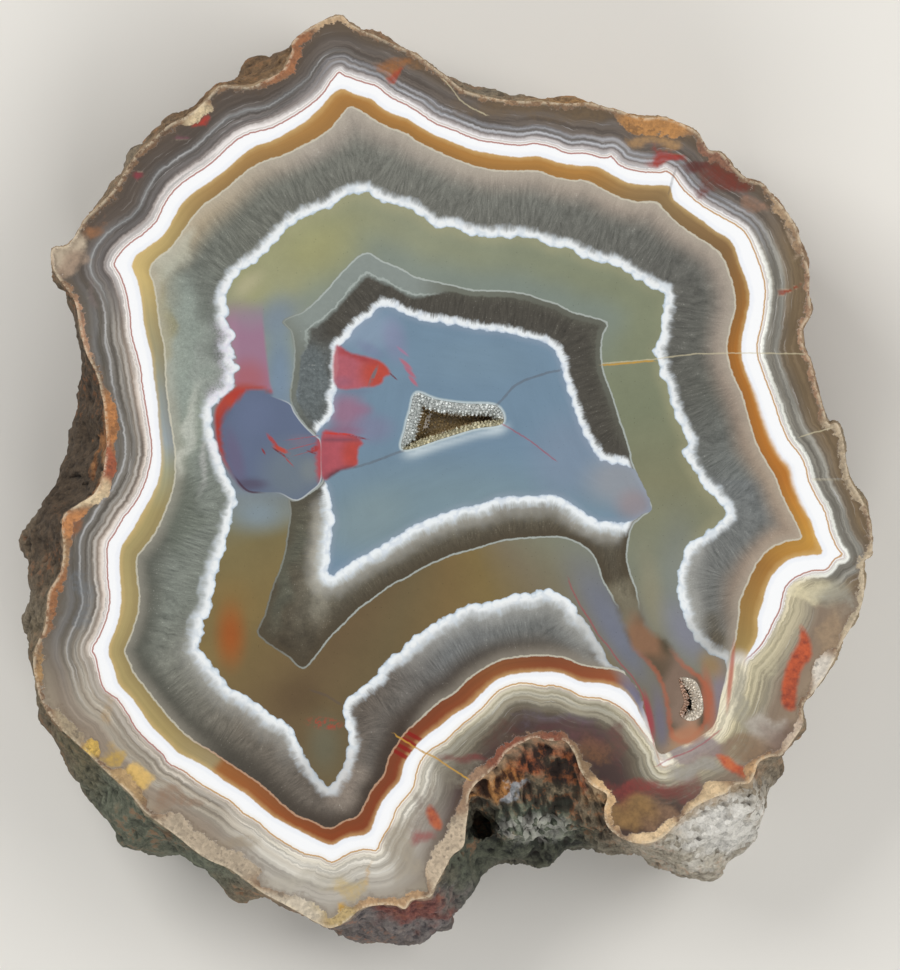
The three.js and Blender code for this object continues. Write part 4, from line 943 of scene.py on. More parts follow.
# The layers come in four groups: rings outside the white band, outer quartz, olive agate with the dark
# quartz, and core with islands. A part of the face that shows only some of them takes a material with
# those alone, from the first to the last.
def paintAgate(name, polished, first=0, last=3):
    p = Paint(name)
    cloud = p.grain(0.22, 4)
    mottle = p.grain(1.4, 3, 0.6)
    speck = p.grain(5, 2, 0.6)
    uneven = (p.grain(1.3, 3, 0.6) - 0.5) * 0.42
    bare, dull, tail, grainy = p.masks("zones")

    def shaded(tone, amount):
        grey = p.add("ShaderNodeCombineColor", {0: amount, 1: amount, 2: amount}).outputs[0]
        return p.mix(1.0, tone, grey, "MULTIPLY")

    # outer chalcedony: rings that follow the white band
    redWay, redGap = p.band("redLine")
    wobble = (p.fibres(redWay * 1.5, 0.3, 3, 0.65) - 0.5) * 0.6
    hairlines = p.fibres((redGap + wobble * 0.6) * 3.4, 0.14, 3, 0.7)
    veins = p.fibres((redGap + wobble + uneven) * 2.2, 0.08, 2, 0.6).ease(0.42, 0.58)
    w = (p.grain(0.12, 2) * 0.5 + 0.75) * -(redGap + uneven * 0.4 + wobble * 0.7)
    p.laying = first == 0
    p.colour = p.stripes(w, outerRings["right"])
    for attribute, keys in (("sectorsNear", outerSectors[:4]), ("sectorsFar", outerSectors[4:])):
        for share, (key, *_) in zip(p.masks(attribute), keys):
            p.lay(share, p.stripes(w, outerRings[key]))
    p.shade(1 + ((veins - 0.5) * 0.42 + (hairlines - 0.5) * 0.9) * w.ease(6.5, 1) + (cloud - 0.5) * 0.3)
    p.lay(hairlines.ease(0.6, 0.68) * w.ease(5.5, 1.5) * 0.4, (202, 202, 202))
    stained, cover = p.tone("stain")
    p.lay((cover + (mottle - 0.5) * 0.7).ease(0.1, 0.95) * 0.85, shaded(stained, 0.7 + mottle * 0.6))
    for key, low, high in (
        ("orangeLens", (132, 44, 30), (204, 88, 46)), ("orangeChip", (176, 58, 34), (204, 106, 58)),
        ("orangeTriangle", (140, 46, 32), (190, 96, 54)),
    ):
        blotchy = p.mix((mottle * 0.6 + cloud * 0.6).ease(0.4, 0.75), low, high)
        p.lay((p.mark(key) + uneven).ease(-0.3, 0.4) * 0.85, blotchy)

    # broken crust along the rim: grains of quartz and of weathered rock
    rimGap = p.band("rimGap")[1]
    rimTone, rimWidth = p.tone("rimTone")
    crumbs, crumbTint = p.cells(2.6)
    crumbTint = Amount(p, p.add("ShaderNodeSeparateColor", {0: crumbTint}).outputs[0])
    skin = (rimGap + (p.grain(0.9, 4, 0.65) - 0.5) * 2.4 + (mottle - 0.5) * 0.8) - rimWidth * 4
    rimCrust = skin.ease(0.12, -0.12)
    p.lay(skin.ease(0.8, 0) * 0.35, (96, 78, 60))
    p.lay(rimCrust, shaded(rimTone, 0.42 + crumbTint * 0.35 + mottle * 0.85))
    p.lay(rimCrust * (cloud * 0.5 + mottle * 0.7).ease(0.62, 0.74) * 0.7, shaded(rimTone, 0.34))
    p.lay(rimGap.ease(0.5, 0.05) * (mottle + speck * 0.4).ease(0.55, 0.8) * 0.6, (222, 206, 178))

    # white band with its frayed outer edge and the thin red or golden line in it
    onEdge, golden, warmLine, softEdge = p.masks("lines")
    banded = 1 - bare
    fray = p.fibres(redWay * 3.2, 0.4, 3, 0.7)
    p.lay((redGap + (fray - 0.5) * 0.6 + wobble * 0.3).ease(-0.08, 0.12) * banded, (244, 243, 241))
    p.lay(redGap.ease(0.25, 0.7) * banded, (250, 252, 255))
    line = redGap - 0.42 + onEdge * 0.36 + wobble * 0.55
    p.lay(abs(line).ease(0.15, 0.04) * 0.85 * banded, p.mix(golden, (164, 92, 80), (190, 140, 62)))
    p.lay(abs(line + 0.3).ease(0.14, 0.03) * 0.45 * banded, (170, 148, 140))
    if first > 0:
        p.colour = (250, 252, 255)

    # ochre band
    p.laying = first <= 1 <= last
    ochre = p.band("ochreOuter")[1] + uneven * 0.7
    quartzGap = p.band("ochreInner")[1]
    quartz = quartzGap + uneven
    share = ochre / (ochre - quartz)
    p.lay(ochre.ease(-0.75, -0.3) * 0.35 * banded, (226, 232, 244))
    tone = p.tone("ochreTone")[0]
    tone = p.mix(share.ease(0.4, 0) * 0.45, tone, (222, 190, 130))
    tone = p.mix((share * 1.6 - 0.5).ease(0, 1) * 0.22, tone, (92, 70, 46))
    ochreLayers = p.fibres(quartzGap * 3, 0.06, 3, 0.6)
    tone = shaded(tone, 0.84 + ochreLayers * 0.32)
    p.lay(ochre.ease(-0.1 - 0.3 * softEdge, 0.12 + 0.25 * softEdge) * banded, tone)
    inOchre = ochre.ease(0, 0.15) * quartz.ease(0.05, -0.1)
    for at in ((-4.2, -31.9), (-4.7, -32.7), (-5.2, -33.5), (-5.6, -34.3)):
        p.lay(p.spot(at, (2.6, 0.3), 0.5, -29) * inOchre * 0.85, (138, 22, 18))

    # outer fibrous quartz
    oliveWay, oliveGap = p.band("oliveEdge")
    olive = oliveGap + uneven * (1 - bare)
    fibres = p.fibres(oliveWay * 3.6, 0.5, 4, 0.7)
    part = (quartz / (quartz - olive)).ease(0.1, 0.5)
    coarse = p.grain(2.3, 3, 0.6)
    streak = (fibres - 0.5) * (0.7 + 1.3 * part) * (1 - grainy * 0.6) + (speck - 0.5) * 0.45
    streak = streak + (coarse - 0.5) * grainy * 0.55
    p.lay(quartz.ease(-0.06, 0.1) * banded, shaded(p.tone("quartzTone")[0], 1 + streak))
    p.lay(quartz.ease(-0.05, 0.1) * quartz.ease(2, 0) * (1 - warmLine) * 0.25 * banded, (214, 206, 190))
    sparks = (speck * 0.6 + fibres * 0.5).ease(0.66, 0.78) * quartz.ease(0.3, 1.5)
    p.lay(sparks * 0.4 * banded, (206, 206, 198))
    edgeTone = p.mix(warmLine, (208, 204, 186), (206, 164, 134))
    p.lay(abs(quartz - 0.08).ease(0.17, 0.05) * 0.7 * banded, edgeTone)

    # white crust on the olive agate: beaded on its inner side, frayed outwards into the fibres
    wide, haze, lower, lilac = p.masks("crusts")
    lobes = p.cells(0.9)[0]
    olive = olive + (lobes - 0.5) * 0.55 * (1 - bare)
    reach = (fibres - 0.5) * 1.2 - olive
    inside = quartz.ease(0, 0.5) * banded
    p.lay(reach.ease(4.2, 0.6) * haze * inside * 0.42 * (0.7 + speck * 0.6), (208, 208, 202))
    whiteness = (reach / (1.1 + wide * 0.5)).ease(1.35, 0.5) * (0.95 - dull * 0.5) * inside
    whites = [(0, (190, 206, 220)), (0.2, (236, 243, 248)), (0.6, (242, 246, 248)), (1.2, (206, 212, 216))]
    p.lay(whiteness, p.stripes(-olive, whites))
    p.lay((lobes + (coarse - 0.5) * 0.5).ease(0.5, 0.8) * whiteness * 0.4, (182, 196, 210))
    p.lay(lilac * (mottle * 0.7 + speck * 0.6).ease(0.45, 0.85) * 0.75, (222, 214, 232))

    # olive agate
    p.laying = first <= 2 <= last
    dots, dotTint = p.cells(1.7)
    dotTint = Amount(p, p.add("ShaderNodeSeparateColor", {0: dotTint}).outputs[0])
    dots = dots.ease(0.14, 0.07) * dotTint.ease(0.35, 0.75)
    clouds = 1 + (cloud - 0.5) * 0.26 + (mottle - 0.5) * 0.1 + (speck - 0.5) * 0.1 - dots * 0.3
    p.lay(olive.ease(-0.02, 0.12), shaded(p.tone("oliveTone")[0], clouds))
    redFlecks = p.spot((-15.4, -30.3), (2.3, 0.8), 0.5, -6) * (mottle + speck * 0.5).ease(0.68, 0.8)
    p.lay(redFlecks * 0.7, (168, 66, 50))
    islandTone = p.tone("islandTone")[0]
    pink = p.mark("pinkZone").ease(-0.2, 0.35) * olive.ease(-0.1, 0.3) * p.rise("y", 23, 19.4)
    p.lay(pink * 0.9, islandTone)
    ring = p.mark("redRing") + uneven * 0.4
    p.lay(ring.ease(-0.15, 0.5), shaded(islandTone, 0.76 + cloud * 0.4))

    # dark fibrous quartz round the core, with a pale outline and a glassy strip inside it
    coreWay, coreGap = p.band("coreEdge")
    core = coreGap + uneven
    dark = p.band("darkEdge")[1] + uneven * (0.8 + tail)
    fibres = p.fibres(coreWay * 3.8, 0.6, 4, 0.7)
    glassy, wedge, darkGrainy, glow = p.masks("depths")
    streak = (fibres - 0.5) * 1.8 * dark.ease(0, 1.6) * (1 - darkGrainy * 0.6) + (speck - 0.5) * 0.5
    streak = streak + (coarse - 0.5) * darkGrainy * 1.2
    darkTone, darkCover = p.tone("darkTone")
    darkQuartz = shaded(darkTone, 1 + streak * (1 - tail * 0.8))
    p.lay(dark.ease(-0.1 - tail * 0.5, 0.1 + tail * 0.6) * darkCover, darkQuartz)
    strip = dark.ease(0, 0.2) * (dark + (mottle - 0.5) * 0.5).ease(1 + wedge * 1.9, 0.7 + wedge * 1.5)
    p.lay(strip * glassy, shaded(p.mix(wedge, (112, 116, 106), (142, 152, 148)), 0.9 + mottle * 0.2))
    outline = abs(dark - 0.1).ease(0.17, 0.04) * 0.65 * (1 - tail)
    p.lay(outline * (0.3 + 0.7 * p.rise("x", -22, -14)), (192, 202, 198))
    p.lay(abs(dark - 1 - wedge * 1.2 + (mottle - 0.5) * 0.8).ease(0.2, 0.03) * 0.5 * wedge, (184, 194, 190))
    p.lay(abs(dark - 0.1).ease(0.5, 0.05) * tail * p.rise("y", -20, -24) * (0.2 + cloud * 0.5), (190, 92, 60))
    sparks = (speck * 0.7 + fibres * 0.4).ease(0.66, 0.78) * dark.ease(0.6, 1.6) * (1 - tail)
    p.lay(sparks * 0.45, (190, 190, 182))

    # white crust on the core
    core = core + (lobes - 0.5) * 0.45
    reach = (fibres - 0.5) * 1.2 - core
    p.lay(reach.ease(3.6, 0.8) * lower * 0.45 * dark.ease(0.4, 1.6), (214, 214, 208))
    whiteness = (reach / (0.9 + lower * 0.5)).ease(1.35, 0.5) * dark.ease(0.1, 0.7) * 0.95
    whites = [(0, (196, 210, 226)), (0.2, (236, 243, 248)), (0.6, (240, 246, 250)), (1.2, (206, 214, 218))]
    p.lay(whiteness, p.stripes(-core, whites))
    p.lay((lobes + (coarse - 0.5) * 0.5).ease(0.5, 0.8) * whiteness * 0.4, (180, 194, 212))

    # core, with faint flow lines
    p.laying = last == 3
    flow = p.fibres((coreGap + wobble) * 0.9, 0.12, 3, 0.7)
    clouds = 1 + (cloud - 0.5) * 0.16 + (flow - 0.5) * 0.16 + (speck - 0.5) * 0.08 - dots * 0.16
    p.lay(core.ease(-0.02, 0.12), shaded(p.tone("coreTone")[0], clouds))
    p.lay(glow * core.ease(0, 1) * 0.9, (222, 234, 238))
    p.lay((p.mark("vugGap") + uneven * 0.3).ease(-0.4, -0.1) * core.ease(0, 1) * 0.7, (204, 216, 216))

    # coloured islands of the agate with sharp edges
    lobe = p.mark("blueLobe")
    west = p.rise("x", -23, -26.5)
    lobeTone = shaded(islandTone, 1 + (cloud - 0.5) * 0.16 + (speck - 0.5) * 0.08)
    p.lay(lobe.ease(-0.08 - west * 0.2, 0.1 + west * 0.5), lobeTone)
    darkEdge = abs(lobe + 0.05).ease(0.2, 0.04) * p.rise("x", -22.4, -24.4) * p.rise("y", 1, -0.4)
    p.lay(darkEdge * 0.8, (70, 44, 58))
    p.lay(abs(lobe).ease(0.13, 0.02) * p.rise("x", -22, -19) * 0.7, (196, 202, 206))
    for key in ("redWedge", "redBlock"):
        inside = p.mark(key) + uneven * 0.6
        p.lay(inside.ease(-0.2, 0.3) * 0.92, shaded(islandTone, 0.7 + mottle * 0.4 + cloud * 0.2))
    for at, size, turn, colour in (
        ((-21.8, 4.9), (1.3, 0.3), -52, (172, 62, 56)), ((-20.8, 3.9), (1.2, 0.34), -24, (186, 70, 48)),
        ((-20.9, 3.5), (1.3, 0.14), -34, (104, 40, 44)), ((-23, 3.7), (0.5, 0.14), -60, (136, 50, 54)),
        ((-20, 2.6), (1.2, 0.1), -46, (160, 76, 78)), ((-18.3, 4.3), (2.2, 0.07), 14, (160, 84, 92)),
        ((-18, 5.4), (2.4, 0.08), 8, (156, 84, 96)), ((-17.6, 3.6), (2.1, 0.06), 16, (156, 86, 92)),
        ((-16.6, 4), (0.6, 0.4), 30, (166, 50, 42)), ((-17, 3.6), (0.7, 0.14), -20, (130, 42, 44)),
        ((-9.3, 13.1), (1.5, 0.27), 66, (112, 110, 116)), ((-6.8, 13.1), (0.75, 0.12), -42, (110, 60, 66)),
        ((-11.3, 5.5), (1.7, 0.14), -12, (130, 44, 50)), ((-13.6, 5.9), (2, 0.16), -3, (196, 60, 50)),
    ):
        p.lay(p.spot(at, size, 0.5, turn) * (mottle + speck * 0.4).ease(0.45, 0.75) * 0.9, colour)

    for at, size, turn, colour in (
        ((25.2, -29.2), (0.5, 3), 12, (160, 56, 70)), ((35.4, -24.4), (0.36, 4.4), -6, (176, 76, 54)),
        ((32.6, -27.4), (0.9, 4.2), 6, (172, 100, 74)), ((30, -31.8), (2.4, 1.2), 12, (176, 122, 92)),
        ((-5.2, 14.6), (1.1, 0.28), -42, (190, 96, 112)), ((-4.7, 13.6), (1.1, 0.28), -46, (186, 92, 110)),
        ((-4.3, 12.5), (0.9, 0.26), -50, (188, 96, 114)), ((-5.6, 16.2), (1, 0.2), -40, (166, 120, 150)),
    ):
        p.lay(p.spot(at, size, 0.6, turn) * 0.75, colour)

    # cracks and thin seams
    p.laying = True
    for key, width, strength, colour in (
        ("brownSeams", 0.24, 0.36, (88, 78, 76)), ("paleSeams", 0.13, 0.55, (206, 196, 164)),
        ("goldSeams", 0.17, 0.8, (196, 150, 62)), ("redSeams", 0.15, 0.5, (164, 62, 76)),
    ):
        gap, beside = p.seam(key)
        p.lay(abs(gap + uneven * 0.6).ease(width, width * 0.3) * beside * strength * (0.5 + mottle), colour)

    p.tree.links.new(p.colour, p.surface.inputs["Base Color"])
    p.surface.inputs["IOR"].default_value = 1.54
    if polished:
        p.surface.inputs["Roughness"].default_value = 0.16
        p.surface.inputs["Coat Weight"].default_value = 0.35
        p.surface.inputs["Coat Roughness"].default_value = 0.05
        relief, strength = mottle * 0.1 + speck * 0.1, 0.35
        if first == 0:
            p.tree.links.new((0.16 + rimCrust * 0.45).socket, p.surface.inputs["Roughness"])
            relief = relief + rimCrust * (crumbTint * 2 + crumbs * 2)
    else:
        p.surface.inputs["Roughness"].default_value = 0.55
        relief, strength = p.grain(1, 2, 0.5, stretch=(0.05, 5, 1)) * 0.8 + mottle * 0.3, 0.2
    bump = p.add("ShaderNodeBump", {"Height": relief, "Strength": strength, "Distance": 0.0002})
    p.tree.links.new(bump.outputs[0], p.surface.inputs["Normal"])
    return p.material

# weathered rock, with painted shade in its dips: the deeper the dip, the darker; its colours change from side
# to side
rockPatches = [
    # middle, half widths, softness, colours of the dips (darker, partly as painted shade) and of the ridges,
    # share
    ((-47, 2), (8, 24), 0.5, (40, 32, 25), (92, 76, 60), 0.95),
    ((-42.6, 3), (1.4, 7), 0.5, (112, 66, 36), (176, 124, 76), 0.8),
    ((-47, -26), (8, 14), 0.5, (66, 58, 44), (128, 116, 92), 0.85),
    ((-36, -44), (16, 12), 0.5, (56, 62, 52), (118, 126, 108), 0.9),
    ((-33, -43), (3, 2), 0.5, (70, 46, 30), (134, 98, 66), 0.7),
    ((-44, -33), (5, 5), 0.5, (60, 62, 48), (126, 120, 92), 0.7),
    ((-25, 50), (20, 9), 0.5, (66, 46, 30), (140, 108, 72), 0.85),
    ((-2, 56), (16, 6), 0.5, (104, 76, 56), (176, 142, 108), 0.7),
    ((24, 46), (16, 6), 0.5, (120, 84, 48), (196, 152, 98), 0.8),
    ((44, 30), (8, 24), 0.5, (110, 84, 62), (176, 144, 112), 0.75),
    ((50, -12), (8, 20), 0.5, (112, 96, 74), (182, 166, 136), 0.75),
    ((-2, -55), (18, 6), 0.5, (60, 58, 66), (128, 122, 122), 0.85),
    ((-4, -53.6), (5, 2.6), 0.5, (86, 38, 36), (142, 74, 60), 0.8),
    ((9, -47), (13, 8), 0.5, (34, 38, 33), (92, 98, 82), 0.95),
    ((12, -34.6), (12, 4), 0.4, (40, 18, 12), (164, 84, 44), 0.95),
    ((5.6, -37.4), (4.4, 2.6), 0.5, (74, 42, 20), (196, 138, 74), 0.9),
    ((13.6, -38.6), (4.6, 2.4), 0.5, (52, 46, 34), (136, 122, 98), 0.9),
    ((11.6, -43), (5.6, 3), 0.45, (58, 66, 54), (134, 142, 122), 0.9),
    ((8, -39), (1.5, 1), 0.5, (120, 126, 132), (196, 204, 212), 0.8),
    ((20.6, -39.4), (3.4, 2.2), 0.5, (94, 72, 48), (176, 146, 108), 0.9),
    ((34, -48), (14, 9), 0.5, (112, 104, 90), (206, 198, 180), 0.9),
    ((29, -38.6), (4.4, 2), 0.5, (120, 88, 58), (196, 160, 120), 0.8),
    ((35, -43.6), (5, 4), 0.5, (150, 148, 142), (240, 238, 232), 0.9),
]


def paintRind(name):
    p = Paint(name)
    # how deep each point lies in a dip of the rind, used for painted shade
    dipShade = p.mark("crumb").ease(-0.05, 0.62)
    broad = p.grain(0.12, 4)
    rough = p.grain(0.8, 5, 0.65)
    grit = p.grain(3.4, 3, 0.65)
    tints = p.cells(1.3)[1]
    drift = p.add("ShaderNodeTexNoise", {"Vector": p.place, "Scale": 0.35, "Detail": 4}).outputs["Color"]
    drift = p.add("ShaderNodeVectorMath", {0: drift, 1: (0.5, 0.5, 0.5)}, operation="SUBTRACT").outputs[0]
    drift = p.add("ShaderNodeVectorMath", {0: drift, "Scale": 9}, operation="SCALE").outputs[0]
    wander = p.add("ShaderNodeVectorMath", {0: p.place, 1: drift}).outputs[0]
    # ridges lighter and dips darker: partly the rock's own grain, partly painted shade in the dips
    ridge = (rough * 1.4 + grit * 0.6 - dipShade * 0.75 - 0.55).ease(0, 0.75)

    p.colour = p.mix(ridge, (84, 70, 54), (158, 138, 112))
    p.lay(broad.ease(0.42, 0.62) * 0.5, p.mix(ridge, (74, 72, 62), (140, 136, 122)))
    for at, size, soft, low, high, share in rockPatches:
        p.lay(p.spot(at, size, soft, wander=wander) * share, p.mix(ridge, low, high))

    # rust in the dips, pale quartz grains on the ridges
    p.lay((rough - 0.52).ease(0, 0.1) * broad.ease(0.56, 0.4) * 0.4, (158, 92, 46))
    facet = Amount(p, p.add("ShaderNodeSeparateColor", {0: tints}).outputs[0])
    pale = p.spot((34, -42.6), (9, 6), 0.6, wander=wander) + p.spot((11, -43.6), (5, 2), 0.5) * 0.5
    crystals = pale.least(1) * (facet * 0.8 + rough * 0.6).ease(0.4, 0.9)
    p.lay(crystals * 0.8, p.mix(grit, (188, 184, 172), (250, 248, 244)))
    p.shade(0.86 + facet * 0.28)
    # painted shade: away from the polished face the rock is painted darker, where less light reaches its
    # sides
    p.lay(p.rise("z", 17, 5) * 0.45, p.mix(ridge, (58, 50, 42), (118, 106, 90)))
    p.lay(p.rise("z", 22.6, 23.6) * 0.5, p.mix(grit, (166, 136, 104), (216, 196, 164)))
    # painted shade, darkest in the deepest dips of the rock
    p.lay(dipShade.ease(0.45, 1) * 0.55, (38, 30, 24))

    p.tree.links.new(p.colour, p.surface.inputs["Base Color"])
    p.tree.links.new((0.85 - pale.least(1) * facet * 0.6).socket, p.surface.inputs["Roughness"])
    relief = rough + grit * 0.5 + facet * 0.35
    bump = p.add("ShaderNodeBump", {"Height": relief, "Strength": 0.7, "Distance": 0.0006})
    p.tree.links.new(bump.outputs[0], p.surface.inputs["Normal"])
    return p.material


# quartz of the hollows: pale by the mouth, brown below
def paintDruse(name, pale, lip, deep, turnsBrown):
    p = Paint(name)
    grit = p.grain(4, 3, 0.6)
    tint = p.mark("tint")
    p.colour = p.mix(grit.ease(0.35, 0.65), pale[0], pale[1])
    p.lay(p.mark("lip") * 0.85, p.mix(grit.ease(0.3, 0.7), lip[0], lip[1]))
    p.lay(p.rise("z", *turnsBrown), p.mix(grit.ease(0.3, 0.7), deep[0], deep[1]))
    p.shade(0.72 + tint * 0.56)
    p.tree.links.new(p.colour, p.surface.inputs["Base Color"])
    p.surface.inputs["Roughness"].default_value = 0.14
    p.surface.inputs["IOR"].default_value = 1.54
    p.surface.inputs["Coat Weight"].default_value = 0.3
    return p.material

print("stone: rings, faces and hollows")
rowDepths = np.concatenate([np.linspace(0, 0.14, 15), np.linspace(0.16, 0.5, 17), np.linspace(0.54, 1, 16)])
rings, dips = roughen(rindRings())
rowCount, ringCount = rings.shape[:2]
mouths = {key: hollowRings(shape, slab["mouthSteps"]) for key, shape in hollows.items()}

points, faces, places, crumbs = [], [], [], []


def addPart(partPoints, partFaces, place, crumb=None):
    first = sum(len(p) for p in points)
    crumbs.append(np.zeros(len(partPoints)) if crumb is None else crumb)
    points.append(np.asarray(partPoints))
    faces.extend([tuple(v + first for v in f) for f in partFaces])
    places.extend([place] * len(partFaces))


openings = [m[0][:, :2] for m in mouths.values()]
addPart(*flatSheet(rings[0][:, :2], openings, slab["faceGrid"], slab["thickness"]), 0)
addPart(*flatSheet(rings[-1][:, :2], [], slab["backGrid"], 0, down=True), 2)
addPart(rings.reshape(-1, 3), wallFaces(rowCount, ringCount, 0), 1, dips.ravel())
for ring in mouths.values():
    rows, count = ring.shape[:2]
    middle = ring[-1].mean(0)
    last = (rows - 1) * count
    lid = [(rows * count, last + i, last + (i + 1) % count) for i in range(count)]
    addPart(np.vstack([ring.reshape(-1, 3), middle]), wallFaces(rows, count, 0, inwards=True) + lid, 3)

agateFace = paintAgate("polished agate", polished=True)
agateParts = [
    paintAgate("polished agate %d to %d" % (first, last), True, first, last)
    for first, last in ((0, 0), (1, 3), (1, 1), (2, 3), (2, 2), (3, 3))
]
agateBack = paintAgate("sawn agate", polished=False)
rindRock = paintRind("rind")
hollowWall = paintDruse(
    "hollow wall", ((190, 196, 194), (226, 230, 228)), ((206, 200, 170), (224, 218, 194)),
    ((120, 104, 76), (150, 132, 98)), (22.8, 21.8),
)
stone = newPiece(
    "agateSlice", np.vstack(points), faces,
    [agateFace, rindRock, agateBack, hollowWall] + agateParts, places,
)
# how far each point of the rind is pushed in; the rind paint turns this into painted shade in the dips
stone.data.attributes.new("crumb", "FLOAT", "POINT").data.foreach_set("value", np.concatenate(crumbs))

mesh = bmesh.new()
mesh.from_mesh(stone.data)
bmesh.ops.remove_doubles(mesh, verts=mesh.verts, dist=2e-7)
mesh.to_mesh(stone.data)
mesh.free()
stone.data.polygons.foreach_set("use_smooth", [True] * len(stone.data.polygons))
stone.data.set_sharp_from_angle(angle=math.radians(38))
print("stone:", len(stone.data.vertices), "points,", len(stone.data.polygons), "faces")

print("stone: bands measured from their outlines")
spots = np.array([v.co for v in stone.data.vertices]) / mm
top = spots[:, 2] > slab["thickness"] - 0.02
back = spots[:, 2] < 0.02
flatSpots = spots[:, :2].copy()
# the bands run a little differently at the back, as they do through a real nodule
leanAcross = np.sin(flatSpots[:, 1] * 0.06 + 1) * 1.6 + 0.8
lean = np.column_stack([leanAcross, np.cos(flatSpots[:, 0] * 0.05) * 1.4])
flatSpots[back] = flatSpots[back] * 1.03 + lean[back]
shown = top | back


def measured(outline, steps):
    field = np.full((len(spots), 3), -9.0)
    field[shown] = nearest(flatSpots[shown], closedCurve(outline, steps))
    return field


def storeVector(name, values):
    stone.data.attributes.new(name, "FLOAT_VECTOR", "POINT").data.foreach_set("vector", values.ravel())


def storeNumber(name, values):
    stone.data.attributes.new(name, "FLOAT", "POINT").data.foreach_set("value", values)


fields = {name: measured(outline, 12) for name, outline in bands.items()}
for name, field in fields.items():
    storeVector(name, field)
rimGap = measured(rings[0][:, :2], 1)
storeVector("rimGap", rimGap)
marks = {name: measured(outline, 12)[:, 2].copy() for name, outline in patches.items()}
vugGap = measured(hollows["vug"]["mouth"], 12)[:, 2].copy()
for name, mark in {**marks, "vugGap": vugGap}.items():
    storeNumber(name, mark)
for name, lines in seams.items():
    storeVector(name, np.where(shown[:, None], gapToLines(flatSpots, lines), (9, 0, 0)))

# soft colours of the wide parts, worked out at each point of the two faces; numbers are as seen on a screen
class Wash:
    def __init__(self, colour=(0, 0, 0)):
        self.rgb = np.zeros((len(flatSpots), 3)) + np.array(colour, float)
        self.cover = np.zeros(len(flatSpots))

    def lay(self, share, colour):
        share = np.clip(share, 0, 1)
        total = share + self.cover * (1 - share)
        under = (self.cover * (1 - share) / np.maximum(total, 1e-6))[:, None]
        self.rgb = self.rgb * under + np.array(colour, float) * (1 - under)
        self.cover = total

    # solid washes start fully covered
    def solid(self):
        self.cover[:] = 1
        return self

    def store(self, name):
        seen = np.clip(self.rgb / 255, 0, 1)
        linear = np.where(seen > 0.04045, ((seen + 0.055) / 1.055) ** 2.4, seen / 12.92)
        layer = stone.data.attributes.new(name, "FLOAT_COLOR", "POINT")
        layer.data.foreach_set("color", np.column_stack([linear, self.cover]).ravel())


def oval(at, size, soft=0.6, turn=0, wander=False):
    place = (wandered if wander else flatSpots) - np.array(at)
    a = math.radians(turn)
    x = place[:, 0] * math.cos(a) + place[:, 1] * math.sin(a)
    y = place[:, 1] * math.cos(a) - place[:, 0] * math.sin(a)
    return smooth(1 + soft * 0.5, 1 - soft, np.hypot(x / size[0], y / size[1]))


def ramp(value, stops):
    at = [s[0] for s in stops]
    return np.column_stack([np.interp(value, at, [s[1][k] for s in stops]) for k in range(3)])


def storeMasks(name, masks):
    masks = masks + [np.zeros(len(flatSpots))] * (4 - len(masks))
    layer = stone.data.attributes.new(name, "FLOAT_COLOR", "POINT")
    layer.data.foreach_set("color", np.clip(np.column_stack(masks), 0, 1).ravel())


print("stone: colours of the wide parts")
wandered = flatSpots.copy()
noise.seed_set(171)  # without it the sway changes from run to run
sway = [noise.noise_vector(Vector((x * 0.33, y * 0.33, 3))) for x, y in flatSpots[shown]]
wandered[shown] += np.array([tuple(v[:2]) for v in sway]) * 2.2
across, up = flatSpots.T
angle = np.degrees(np.arctan2(up, across)) % 360
ochre, quartz, olive, dark, core = (fields[name][:, 2] for name in list(bands)[1:])


def fromAngle(start, soft):
    return smooth(start - soft, start + soft, angle)


sectorMasks = [fromAngle(start, soft) for key, start, soft in outerSectors]
storeMasks("sectorsNear", sectorMasks[:4])
storeMasks("sectorsFar", sectorMasks[4:])

stain = Wash()
for at, size, colour, share in stains:
    stain.lay(oval(at, size, 0.55, wander=True) * share, colour)
stain.store("stain")

rimCrust = Wash((124, 96, 70)).solid()
rimWidth = np.full(len(flatSpots), 0.5)
for at, size, colour, width in rimCrusts:
    share = oval(at, size, 0.4, wander=True)
    rimCrust.lay(share, colour)
    rimWidth = rimWidth * (1 - share) + width * share
rimCrust.cover = rimWidth / 4
rimCrust.store("rimTone")

tone = Wash(0).solid()
tone.rgb = ramp(angle, ochreRound)
tone.lay(oval((23.8, -28.8), (2, 4.8), 0.5, 25), (118, 116, 136))
tone.store("ochreTone")

part = np.clip(quartz / np.maximum(quartz - olive, 1e-6), 0, 1)
tone = Wash(0).solid()
tone.rgb = ramp(angle, quartzOuterRound)
tone.lay(smooth(0.1, 0.48, part), ramp(angle, quartzInnerRound))
shadow = np.maximum(oval((0, 36), (26, 16), 0.4), oval((30, 16), (10, 22), 0.4))
tone.lay(smooth(0.45, 0.9, part) * 0.2 * shadow, (80, 78, 74))
for at, size, turn, colour, share in quartzWashes:
    tone.lay(oval(at, size, 0.6, turn, wander=True) * share, colour)
tone.store("quartzTone")

part = np.clip(olive / np.maximum(olive - dark, 1e-6), 0, 1)
tone = Wash(0).solid()
tone.rgb = ramp(angle, oliveRound)
tone.lay(smooth(0.35, 0.95, part) * oval((2, 26), (30, 14), 0.4) * 0.6, (120, 134, 134))
glowing = np.maximum(oval((4, 28), (26, 16), 0.4), oval((29, 2), (8, 18), 0.4))
tone.lay(smooth(0.25, 0, part) * 0.4 * glowing, (172, 166, 130))
for at, size, turn, colour, share in oliveWashes:
    tone.lay(oval(at, size, 0.9, turn) * share, colour)
tone.store("oliveTone")

